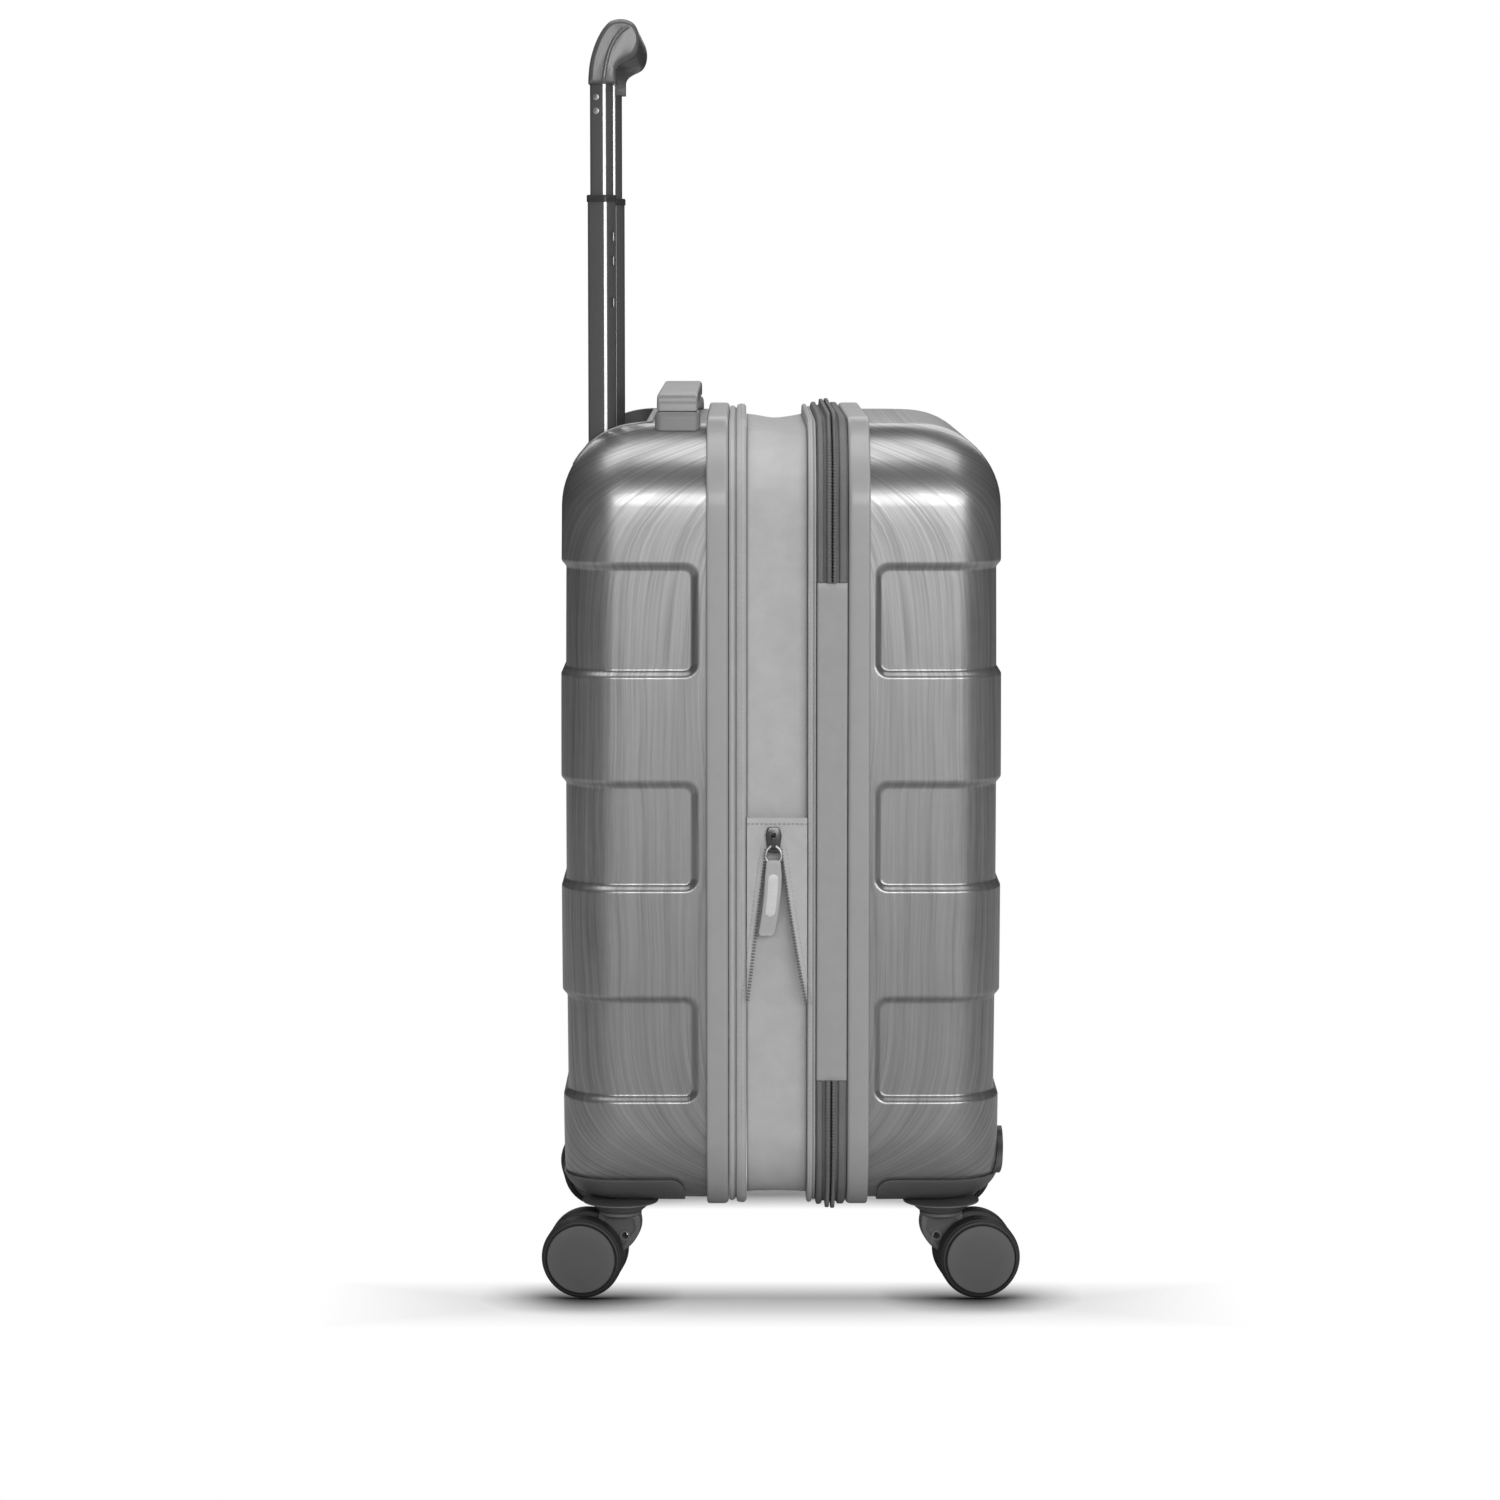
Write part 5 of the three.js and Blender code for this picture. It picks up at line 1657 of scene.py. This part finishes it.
@dataclass
class Pocket:
    """The recess that the lowered grip sinks into, with a rim over the shell's cut edge.

    Fields:
        rear: Distance of its rear wall from the middle plane.
        front: The same for its front wall.
        width: Its width inside.
        floor: Height of its floor.
        floor_thick: Thickness of its floor.
        round: Radius of its corners.
        wall: Thickness of its walls.
        rim: How far the rim reaches over the shell.
        rim_proud: How far the rim stands out of the shell.
        cut_margin: How far the shell's opening lies outside the pocket's own outline.
        cut_low: Height where that opening ends below.
    """

    rear: float = 127.5
    front: float = 84.0
    width: float = 238.0
    floor: float = 510.0
    floor_thick: float = 3.0
    round: float = 9.0
    wall: float = 1.7
    rim: float = 3.4
    rim_proud: float = 0.7
    cut_margin: float = 2.0
    cut_low: float = 506.7

    def opening(self) -> Shape:
        """What is cut from the shell for the pocket."""
        depth, grow = self.rear - self.front, 2 * self.cut_margin
        box = rounded_box(depth + grow, self.width + grow, self.round + self.cut_margin, 6)
        return prism(box, self.cut_low, BODY.top + 29).moved(-(self.rear + self.front) / 2)

    def block(self, margin: float, low: float, high: float) -> Shape:
        """The pocket's outline grown by a margin, between two heights."""
        depth = self.rear - self.front + 2 * margin
        box = rounded_box(depth, self.width + 2 * margin, self.round + margin, 8)
        return prism(box, low, high).moved(-(self.rear + self.front) / 2)

    def build(self, trolley: Trolley) -> Object:
        """Makes the tray with its rim and the holes for the tubes."""
        over = smooth_half(self.rim_proud, Side.REAR)
        flush = smooth_half(0.0, Side.REAR)
        under = smooth_half(0.05, Side.REAR)
        high = BODY.top + 20
        rim = Maker.mesh("pocket_rim", self.block(self.rim, self.floor, high), FIN.band.material(), 40)
        Maker.cut(rim, [over], "INTERSECT", 40)
        Maker.cut(rim, [under, self.block(-0.4, 0, high)], angle=40)
        Maker.soften(rim, 0.3, 2, 50)
        Maker.finish(rim, "case", "dark_plastic")
        outer = self.block(self.wall, self.floor - self.floor_thick, high)
        tray = Maker.mesh("pocket_tray", outer, FIN.tray.material(), 40)
        Maker.cut(tray, [flush], "INTERSECT", 40)
        holes = []
        for hand in Hand:
            outline = trolley.section((trolley.middle[0] + 0.7, trolley.middle[1] + 0.7))
            holes.append(prism(outline, 0, high).moved(trolley.centre_x, hand.value * trolley.spacing / 2))
        Maker.cut(tray, [self.block(0, self.floor, high), *holes], angle=40)
        return Maker.finish(tray, "case", "dark_plastic", "handle_pocket")


@dataclass
class Grip:
    """The trolley's grip, a bar on two legs that sweep forward, and its release button.

    Fields:
        width: Its length across the case.
        low: Height of its feet.
        height: From its feet to its top.
        bar: Height of the bar's underside.
        rib: Radius of the rib on each end.
        leg: Width of a leg.
        window_round: Round of the window's corners.
        back: Its rear face, in X.
        tube: Depth and width of the hole for a tube.
        button_x: Place of the button.
    """

    width: float = 228.0
    low: float = 761.7
    height: float = 40.0
    bar: float = 779.5
    rib: float = 1.5
    leg: float = 24.0
    window_round: float = 14.0
    back: float = -120.35
    tube: Pair = (14.5, 21.0)
    button_x: float = -102.2

    def outline(self) -> Outline:
        """The grip seen from the side, X and Z."""
        b, c, t = self.back, self.low, self.low + self.height
        points: Outline = [(b, c), (b + 0.1, c + 3), (b + 0.3, c + 6)]
        points += bezier((b + 0.3, c + 6), (b + 0.9, c + 19), (b + 7, t - 6), (b + 14, t - 1.3), 12)
        points += bezier((b + 14, t - 1.3), (b + 19, t + 0.8), (b + 27, t + 0.6), (b + 30, t - 4.7), 10)
        points += bezier((b + 30, t - 4.7), (b + 32.8, t - 9.5), (b + 33, t - 19.5), (b + 27.7, t - 23.2), 10)
        points += bezier((b + 27.7, t - 23.2), (b + 24.5, t - 25.2), (b + 18.2, t - 26.5),
                         (b + 17.6, c + 8.3), 12)
        points.append((b + 17.6, c))
        return points

    def spine(self, end: int) -> Shape:
        """The soft rib that runs up one end of the grip, from its foot to its top."""
        b, c, t = self.back, self.low, self.low + self.height
        line: Outline = [(b + 9.6, c + 1.2)]
        line += bezier((b + 9.6, c + 1.2), (b + 11.5, t - 20), (b + 16, t - 9), (b + 25.5, t - 4.5), 16)
        depth = end * (self.width / 2 - 0.35 * self.rib)
        return tube_along([(x, depth, z) for x, z in line], self.rib, 10)

    def build(self) -> None:
        """Makes the grip with a rib on each end, and the button."""
        top = self.low + self.height
        whole = prism(self.outline(), -self.width / 2, self.width / 2, 3.0, 6)
        whole = whole.mapped(lambda p: (p[0], p[2], p[1]))
        obj = Maker.mesh("grip_body", whole, FIN.grip.material(), 40)
        opening = rounded_box(self.width - 2 * self.leg, 2 * self.height, self.window_round, 10)
        window = along_x(prism(opening, -160, -60)).moved(0, 0, self.bar - self.height)
        middle = self.back + self.tube[0] / 2 + 0.7
        socket = [prism(rounded_box(*self.tube, 6.2, 6), 700, 771.0).moved(middle, s * 100) for s in (-1, 1)]
        slot = prism(rounded_box(7.6, 38.6, 3.3, 6), top - 6, top + 8).moved(self.button_x)
        Maker.cut(obj, [self.spine(s) for s in (-1, 1)], "UNION", 40)
        Maker.cut(obj, [window, *socket, slot], angle=40)
        Maker.soften(obj, 1.3, 3, 50)
        Maker.finish(obj, "trolley_top", "dark_plastic", "grip")
        button = prism(rounded_box(7.0, 38.0, 3.0, 6), top - 3.2, top + 1.4, 0.9, 4).moved(self.button_x)
        Maker.piece("release_button_cap", button, FIN.black_plastic, 40, "release_button", "dark_plastic",
                    "release_button")


@dataclass(frozen=True)
class LockOpening:
    """The place of the lock in the lid's far side.

    Fields:
        x: Middle of the opening.
        z: Its height.
        width: Along X.
        height: Along Z.
        round: Radius of its corners.
        reach: Where the cut begins and ends, in Y.
    """

    x: float = 68.5
    z: float = 360.0
    width: float = 21.6
    height: float = 58.6
    round: float = 4.3
    reach: Pair = (160.0, 182.0)

    def opening(self) -> Shape:
        """What is cut from the lid for the lock."""
        block = prism(rounded_box(self.width, self.height, self.round, 6), *self.reach)
        return block.mapped(lambda p: (self.x + p[0], p[2], self.z + p[1]))


@dataclass
class CarryHandle:
    """The handle on top of the case and the housings at its ends.

    Fields:
        x: Its place.
        inset: Distance of the housings from the case's sides.
        width: Width of the bar.
        thick: Its thickness.
        rise: Height of its top over the case.
        base: Depth, width and height of a housing.
        leg: Depth and width of a leg.
    """

    x: float = -64.6
    inset: float = 30.0
    width: float = 25.5
    thick: float = 8.5
    rise: float = 18.8
    base: Point = (28.0, 30.0, 8.0)
    leg: Pair = (15.0, 12.0)

    @property
    def reach(self) -> float:
        """Distance of a housing's outer end from the middle."""
        return BODY.half - self.inset

    def bar(self) -> Shape:
        """The bar, arched between its ends, with rounded long edges."""
        reach, low, top = self.reach - 1, BODY.top + self.base[2] + 0.3, BODY.top + self.rise
        arch = top - self.thick
        outline: Outline = [(-reach, low), (-reach, low + 4)]
        outline += bezier((-reach, low + 4), (-reach + 0.6, top - 3), (-reach + 4, top - 0.4),
                          (-reach + 16, top), 14)
        outline += [(reach - 16, top)]
        outline += bezier((reach - 16, top), (reach - 4, top - 0.4), (reach - 0.6, top - 3),
                          (reach, low + 4), 14)
        outline += [(reach, low), (reach - 24, low)]
        outline += bezier((reach - 24, low), (reach - 30, low), (reach - 30, arch), (reach - 38, arch), 10)
        outline += [(-reach + 38, arch)]
        outline += bezier((-reach + 38, arch), (-reach + 30, arch), (-reach + 30, low),
                          (-reach + 24, low), 10)
        whole = prism(outline, -self.width / 2, self.width / 2, 2.2, 6)
        return whole.mapped(lambda p: (self.x + p[2], p[0], p[1]))

    def housing(self, hand: Hand) -> Object:
        """Makes one housing, seated on the rounded top edge of the shell."""
        top, y = BODY.top + self.base[2], hand.value * (self.reach - self.base[1] / 2)
        rows = []
        foot = BODY.top - 40
        for shrink, z in ((0.0, foot), (0.0, top - 5), (0.35, top - 1.8), (1.0, top - 0.5), (2.0, top)):
            box = rounded_box(self.base[0] - 2 * shrink, self.base[1] - 2 * shrink, 4.0 - shrink * 0.4, 6)
            rows.append([(px + self.x, py + y, z) for px, py in box])
        for z in (top, foot):
            box = rounded_box(self.leg[0] + 0.6, self.leg[1] + 0.6, 2.2, 6)
            rows.append([(px + self.x, py + y, z) for px, py in box])
        name = f"handle_base_{hand.name.lower()}"
        obj = Maker.mesh(f"{name}_housing", loft(rows, ring=True), FIN.handle_base.material(), 40)
        seat = smooth_half(BODY.clearance, Side.REAR)
        Maker.cut(obj, [seat], angle=40)
        return Maker.finish(obj, "case", "dark_plastic", name)

    def build(self) -> None:
        """Makes the bar with its legs, and both housings."""
        low = BODY.top + self.base[2] + 0.3
        end = self.reach - self.base[1] / 2
        leg = prism(rounded_box(*self.leg, 2.0), BODY.top + 0.6, low + 2)
        legs = [leg.moved(self.x, s * end) for s in (-1, 1)]
        bar = Maker.mesh("carry_handle_bar", self.bar(), FIN.handle_plastic.material(), 40)
        Maker.cut(bar, legs, "UNION", 40)
        Maker.finish(bar, "carry_handle", "handle_plastic", "carry_handle")
        for hand in Hand:
            self.housing(hand)


# ------------------------------------------------------------------ casters


@dataclass
class Caster:
    """One swivelling twin-wheel caster and the housing that caps its corner of the case.

    Fields:
        side: Front or rear.
        hand: Left or right.
        x: Distance of the swivel from the middle plane.
        y: Distance of the swivel from the middle.
        turn: How far it is turned about its swivel at rest.
        trail: Distance of the axle from the swivel.
        radius: Radius of a wheel.
        inner: Distance of a wheel's inner face from the fork's middle.
        outer: The same for its outer face.
    """

    side: Side
    hand: Hand
    x: float = 101.5
    y: float = 133.0
    turn: float = 6.0
    trail: float = 22.4
    radius: float = 25.6
    inner: float = 6.3
    outer: float = 22.6

    @property
    def place(self) -> str:
        """The place's name."""
        return f"{self.side.name.lower()}_{self.hand.name.lower()}"

    def stood(self, shape: Shape) -> Shape:
        """A shape from the caster's own frame to where it stands."""
        heading = (180 if self.side is Side.REAR else 0) - self.side.value * self.hand.value * self.turn
        return shape.moved(self.side.value * self.x, self.hand.value * self.y, 0, heading)

    def wheel(self, which: str) -> Object:
        """Makes one wheel: tread, rim, groove and domed cap.

        Args:
            which: "outer" for the wheel nearer to the case's side, else "inner".

        Returns:
            The wheel.
        """
        a, b, r = self.inner, self.outer, self.radius
        back = [(0, b - 5), (2.7, b - 5), (2.7, a), (9, a), (10, a + 3), (r - 8, a + 3), (r - 7, a)]
        tread = [(r - 2.0, a + 0.1), (r - 0.8, a + 0.8), (r, a + 2.4), (r, b - 5.6), (r - 0.35, b - 4.4),
                 (r - 0.9, b - 3.6), (r - 1.3, b - 3.5), (r - 1.45, b - 2.6), (r - 2.0, b - 2.0)]
        cap = [(r - 2.9, b - 1.75), (r - 3.3, b - 2.9), (r - 3.9, b - 2.9), (r - 4.15, b - 0.9),
               (r - 4.7, b - 0.45), (14, b - 0.15), (7, b - 0.02), (0, b)]
        side = self.side.value * self.hand.value * (1 if which == "outer" else -1)
        shape = revolved(back + tread + cap, 72)
        shape = shape.mapped(lambda p: (self.trail + p[0], side * p[2], self.radius + p[1]))
        obj = Maker.mesh(f"wheel_{self.place}_{which}_tread", self.stood(shape), FIN.tread.material(), 30)
        obj.data.materials.append(FIN.hub.material())
        centre = Vector(self.stood(Shape([(self.trail, 0, self.radius)])).points[0])
        for polygon in obj.data.polygons:
            at = polygon.center / MM - centre
            if at.length < 40 and abs(at.z) < 21.6 and math.hypot(at.x, at.y, at.z) > b - 2.2:
                distance = abs((at.x * self.axis().x + at.y * self.axis().y))
                if distance > b - 1.1 and distance > 0:
                    polygon.material_index = 1
        return Maker.finish(obj, f"wheels_{self.place}", "wheel", f"wheel_{self.place}_{which}")

    def axis(self) -> Vector:
        """Direction of the wheels' axle."""
        a, b = self.stood(Shape([(0, 0, 0), (0, 1, 0)])).points
        return (Vector(b) - Vector(a)).normalized()

    def fork(self) -> Object:
        """Makes the fork: a web with a raised edge on both faces, a swivel plate and a stem."""
        outline: Outline = [(-12.5, 51.5)]
        outline += bezier((-12.5, 51.5), (-16, 42), (-10, 31), (1, 26), 14)
        outline += bezier((1, 26), (8, 19.6), (12, 16.6), (self.trail, 17.6), 10)
        outline += [(self.trail + 8 * math.sin(a), self.radius - 8 * math.cos(a))
                    for a in np.linspace(0.2, math.pi, 12)]
        outline += bezier((self.trail, 33.6), (17, 37.6), (14, 45), (13, 51.5), 10)
        web = along_y(prism(outline, -5.5, 5.5, 1.0, 4))
        obj = Maker.mesh(f"caster_fork_{self.place}_web", self.stood(web), FIN.dark_plastic.material(), 40)
        recess = rounded([(-9.5, 49.0), (-10.5, 42), (-3, 32), (3, 30), (9, 36), (10, 49.0)], 2.5, 4)
        cheeks = [along_y(prism(recess, low, high)) for low, high in ((-9, -4.2), (4.2, 9))]
        hole = along_y(prism(rounded_box(4.2, 4.2, 2.09, 6), -12, 12)).moved(-3.5, 0, 38.0)
        bore = along_y(prism(rounded_box(5.4, 5.4, 2.69, 6), -12, 12)).moved(self.trail, 0, self.radius)
        Maker.cut(obj, [self.stood(s) for s in (*cheeks, hole, bore)], angle=40)
        plate = revolved([(0, 50.8), (12.6, 50.8), (13.5, 51.4), (13.5, 52.9), (13.0, 53.3),
                          (4, 53.3), (4, 59.0), (0, 59.0)], 48)
        Maker.cut(obj, [self.stood(plate), self.stood(self.hole_boss())], "UNION", 40)
        return Maker.finish(obj, f"caster_{self.place}", "dark_plastic", f"caster_fork_{self.place}")

    def hole_boss(self) -> Shape:
        """A short hollow boss round the fork's hole."""
        rows = []
        for r, y in ((3.4, -5.5), (3.4, 5.5), (2.1, 5.5), (2.1, -5.5)):
            angles = np.linspace(0, 2 * math.pi, 24, endpoint=False)
            rows.append([(-3.5 + r * math.cos(a), y, 38.0 + r * math.sin(a)) for a in angles])
        return loft(rows, ring=True)

    def housing(self) -> Object:
        """Makes the cap over the case's corner with the boss that the fork turns under."""
        proud, front, span, top, corner = 1.6, 60.5, 82.0, 79.0, 9.0
        flip = -1 if self.side is Side.REAR else 1
        side = self.hand.value * flip
        skin = smooth_half(proud)
        obj = Maker.mesh(f"caster_housing_{self.place}_cap", skin, FIN.dark_plastic.material(), 40)
        depth, wide, high = BODY.face + 18 - front, span + 18, top - BODY.ground + 36
        middle = (front + depth / 2, side * (BODY.half - span + wide / 2), top - high / 2)
        from_side = along_y(prism(rounded_box(depth, high, corner, 10), -wide / 2, wide / 2)).moved(*middle)
        from_front = along_x(prism(rounded_box(wide, high, corner, 10), -depth / 2, depth / 2)).moved(*middle)
        Maker.cut(obj, [from_side], "INTERSECT", 40)
        Maker.cut(obj, [from_front], "INTERSECT", 40)
        g = BODY.ground - proud
        boss = revolved([(0, 53.6), (13.4, 53.6), (14.2, 53.9), (14.9, 54.6), (16.2, 55.6), (17.6, 56.9),
                         (18.8, 58.0), (19.9, 58.8), (21.6, g - 0.15), (24.0, g + 0.15), (24.0, g + 1.0),
                         (0, g + 1.0)], 64)
        Maker.cut(obj, [boss.moved(self.x, side * self.y)], "UNION", 40)
        hollow = smooth_half(BODY.clearance)
        bore = prism(rounded_box(8.6, 8.6, 4.29, 6), 0, g).moved(self.x, side * self.y)
        Maker.cut(obj, [hollow, bore], angle=40)
        if self.side is Side.REAR:
            obj.data.transform(Matrix.Rotation(math.pi, 4, "Z"))
        Maker.soften(obj, 0.6, 2, 55)
        body = "case" if self.side is Side.REAR else "lid"
        return Maker.finish(obj, body, "dark_plastic", f"caster_housing_{self.place}")

    def build(self) -> None:
        """Makes the whole caster."""
        self.housing()
        self.fork()
        for which in ("outer", "inner"):
            self.wheel(which)


@dataclass
class Bumper:
    """A D-shaped pad low on the lid, above one of its casters.

    Fields:
        hand: Left or right.
        y: Distance from the middle.
        bottom: Height of its flat end.
        width: Its width.
        height: Its height.
    """

    hand: Hand
    y: float = 120.0
    bottom: float = 79.3
    width: float = 46.0
    height: float = 25.0

    def build(self) -> Object:
        """Makes the pad as a slice of a skin over the lid."""
        w, h = self.width / 2, self.height
        outline: Outline = [(-w, 0.0), (w, 0.0)]
        outline += bezier((w, 0), (w, h * 0.7), (w / 2, h), (0, h), 14)
        outline += bezier((0, h), (-w / 2, h), (-w, h * 0.7), (-w, 0), 14)[:-1]
        pad = along_x(prism(outline, 0, 30)).moved(BODY.face - 20, self.hand.value * self.y, self.bottom)
        name = f"front_bumper_{self.hand.name.lower()}"
        obj = Maker.mesh(f"{name}_pad", smooth_half(4.0), FIN.black_plastic.material(), 40)
        Maker.cut(obj, [pad], "INTERSECT", 40)
        Maker.cut(obj, [smooth_half(BODY.clearance)], angle=40)
        Maker.soften(obj, 1.1, 3, 40)
        return Maker.finish(obj, "lid", "dark_plastic", name)


# ------------------------------------------------------------------ what stays as packed


@dataclass(frozen=True)
class Plain:
    """Solids that are shown as packed, with a finish of their own."""

    finishes: tuple[tuple[str, Finish], ...]

    def build(self, frame: dict) -> None:
        """Gives each solid its material."""
        for prefix, finish in self.finishes:
            for name, obj in frame["nodes"].items():
                if name.startswith(prefix) and not obj.hide_render:
                    obj.data.materials.clear()
                    obj.data.materials.append(finish.material())
                    LOG.info("%s: %s", name, finish.name)


# ------------------------------------------------------------------ studio and camera


@dataclass(frozen=True)
class Softbox:
    """One soft light.

    Fields:
        name: Its name.
        place: Where it hangs, in metres.
        aim: What it points at.
        size: Its two sides, in metres.
        power: In watts.
    """

    name: str
    place: Point
    aim: Point
    size: tuple[float, float]
    power: float


@dataclass
class Studio:
    """A pale floor, a white surround and soft lights.

    Fields:
        surround: The world's brightness on rough surfaces.
        mirrored: The world's brightness in reflections.
        wheel_line: Distance of the wheels' feet from the middle, where the floor keeps its shadow.
        shade_across: Distances from that line between which the shadow runs out into white.
        shade_along: The same from the middle plane, along the line.
        hidden: How much nearer to the middle plane the shadow ends on the lock side.
        contact: How far a piece darkens the floor's colour where it nearly touches it, a painted contact
            shadow.
    """

    lights: tuple[Softbox, ...] = (
        Softbox("front", (0.75, -3.1, 1.02), (0.0, 0.0, 0.42), (3.2, 0.75), 66.0),
        Softbox("overhead", (0.0, -0.25, 2.2), (0.0, -0.1, 0.3), (2.2, 1.3), 25.0),
        Softbox("back", (0.0, 2.6, 1.6), (0.0, 0.0, 0.4), (2.4, 1.2), 14.0),
    )
    surround: float = 0.34
    mirrored: float = 0.01
    wheel_line: float = 0.164
    shade_across: Pair = (0.015, 0.060)
    shade_along: Pair = (0.19, 0.29)
    hidden: float = 0.15
    contact: float = 0.045

    def build(self) -> None:
        """Makes the floor, the world and the lights."""
        size = 6.0
        floor = bpy.data.meshes.new("floor")
        corners = [(-size, -size, 0), (size, -size, 0), (size, size, 0), (-size, size, 0)]
        floor.from_pydata(corners, [], [(0, 1, 2, 3)])
        obj = bpy.data.objects.new("floor", floor)
        bpy.context.collection.objects.link(obj)
        obj.data.materials.append(self._floor_material())
        for light in self.lights:
            self._light(light)
        self._world()

    def _floor_material(self) -> Material:
        """A pale floor that the camera sees run out into white away from the wheels, its colour darkened by a
        painted contact shadow near the pieces that nearly touch it.
        """
        material = bpy.data.materials.new("pale floor")
        material.use_nodes = True
        n = Nodes(material.node_tree)
        material.node_tree.nodes.clear()
        seen = n.add("ShaderNodeLightPath").outputs["Is Camera Ray"]
        place = n.add("ShaderNodeSeparateXYZ", Vector=n.add("ShaderNodeNewGeometry").outputs["Position"])
        aside = n.math("ABSOLUTE", place.outputs["Y"])
        across = n.math("ABSOLUTE", n.math("SUBTRACT", aside, self.wheel_line))
        beyond = n.math("MULTIPLY", n.math("GREATER_THAN", place.outputs["Y"], 0.0), self.hidden)
        along = n.math("ADD", n.math("ABSOLUTE", place.outputs["X"]), beyond)
        away = n.math("MAXIMUM", n.ranged(across, *self.shade_across), n.ranged(along, *self.shade_along))
        far = n.math("MULTIPLY", away, seen)
        # painted shadow: ambient occlusion darkens the floor's colour where a piece nearly touches it
        contact_shadow_ao = n.add("ShaderNodeAmbientOcclusion", Distance=self.contact).outputs["AO"]
        tone = n.math("MULTIPLY", n.ranged(seen, 0.0, 1.0, 0.46, 0.94), n.math("POWER", contact_shadow_ao, 3.8))
        grey = n.add("ShaderNodeCombineColor", Red=tone, Green=tone, Blue=tone)
        paint = n.add("ShaderNodeBsdfDiffuse", Color=grey.outputs[0])
        white = n.add("ShaderNodeEmission", Strength=1.0)
        mixed = n.add("ShaderNodeMixShader")
        n.put(mixed, 0, far)
        n.put(mixed, 1, paint.outputs[0])
        n.put(mixed, 2, white.outputs[0])
        n.put(n.add("ShaderNodeOutputMaterial"), "Surface", mixed.outputs[0])
        return material

    def _light(self, light: Softbox) -> None:
        """Hangs one soft light and aims it."""
        data = bpy.data.lights.new(light.name, "AREA")
        data.shape = "RECTANGLE"
        data.size, data.size_y = light.size
        data.energy = light.power
        obj = bpy.data.objects.new(light.name, data)
        obj.location = light.place
        obj.rotation_euler = (Vector(light.aim) - Vector(light.place)).to_track_quat("-Z", "Y").to_euler()
        bpy.context.collection.objects.link(obj)

    def _world(self) -> None:
        """Makes the white surround, with its own brightness in reflections."""
        world = bpy.data.worlds.new("surround")
        bpy.context.scene.world = world
        world.use_nodes = True
        n = Nodes(world.node_tree)
        world.node_tree.nodes.clear()
        out = n.add("ShaderNodeOutputWorld")
        rays = n.add("ShaderNodeLightPath")
        seen = n.math("MAXIMUM", rays.outputs["Is Camera Ray"], rays.outputs["Is Transmission Ray"])
        plain = n.add("ShaderNodeMix", {"data_type": "FLOAT"})
        n.put(plain, 0, rays.outputs["Is Glossy Ray"])
        plain.inputs[2].default_value = self.surround
        plain.inputs[3].default_value = self.mirrored
        white = n.add("ShaderNodeMix", {"data_type": "FLOAT"})
        n.put(white, 0, seen)
        n.put(white, 2, plain.outputs[0])
        white.inputs[3].default_value = 1.0
        background = n.add("ShaderNodeBackground", Strength=white.outputs[0])
        background.inputs["Color"].default_value = (1, 1, 1, 1)
        n.put(out, "Surface", background.outputs[0])


@dataclass
class Camera:
    """A long lens in front of the hinge side, a little above the case.

    Fields:
        place: Where it stands, in metres.
        tilt: How far it looks down, in degrees.
        lens: Its focal length.
        shift: Shift of the picture along X and Y.
    """

    place: Point = (-0.0239, -2.8045, 0.6575)
    tilt: float = 5.5
    lens: float = 102.9
    shift: Pair = (0.0047, -0.0569)

    def build(self) -> None:
        """Makes the scene's camera."""
        data = bpy.data.cameras.new("camera")
        data.lens, data.sensor_width = self.lens, 36.0
        data.shift_x, data.shift_y = self.shift
        data.clip_start, data.clip_end = 0.05, 50.0
        data.dof.use_dof = False
        obj = bpy.data.objects.new("camera", data)
        obj.location = self.place
        obj.rotation_euler = (math.radians(90 - self.tilt), 0, 0)
        bpy.context.collection.objects.link(obj)
        bpy.context.scene.camera = obj


# ------------------------------------------------------------------ the whole


def main() -> None:
    """Builds the suitcase and its studio, piece by piece."""
    logging.basicConfig(level=logging.INFO, format="%(relativeCreated)d %(name)s: %(message)s")
    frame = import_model()
    pocket = Pocket()
    Shell(Side.REAR, BODY.rear_edge, PANELS.rear_end).build(pocket.opening())
    Shell(Side.FRONT, BODY.front_edge, PANELS.front_end).build(LockOpening().opening())
    RimBand(Side.REAR, SEAMS.rear_rim, SEAMS.rear_flange).build()
    RimBand(Side.FRONT, SEAMS.front_rim, SEAMS.front_band).build()
    Flange(Side.REAR, SEAMS.rear_flange + 0.3, SEAMS.gusset_rear).build()
    Flange(Side.FRONT, SEAMS.zipper_rear - 0.3, SEAMS.gusset_front).build()
    Gusset().build()
    ExpansionTape().build()
    HingeStrip().build()
    middle = SEAMS.zipper_middle
    MainZipper("main_zipper_case_half", "expansion_frame", SEAMS.zipper_rear, middle - 0.2,
               [(23.9, 4.2, 4.6), (29.1, 3.4, 6.2)]).build()
    MainZipper("main_zipper_lid_half", "lid", SEAMS.zipper_front, middle + 0.2,
               [(37.6, 5.4, 4.4), (32.5, 2.0, 6.6)]).build()
    Slider().build()
    MainSlider("main_slider_upper", 372.0).build()
    MainSlider("main_slider_lower", 348.0).build()
    trolley = Trolley()
    trolley.build()
    pocket.build(trolley)
    Grip().build()
    CarryHandle().build()
    for side in Side:
        for hand in Hand:
            Caster(side, hand).build()
    for hand in Hand:
        Bumper(hand).build()
    Plain((
        ("rear_lining", FIN.lining), ("lid_lining", FIN.lining), ("trolley_base", FIN.dark_plastic),
        ("outer_tube", FIN.tube), ("axle", FIN.steel), ("lock_case", FIN.dark_plastic),
        ("lock_dial", FIN.steel), ("lock_button", FIN.steel),
    )).build(frame)
    Studio().build()
    Camera().build()
    bpy.context.scene.view_settings.view_transform = "Standard"


if __name__ == "__main__":
    main()
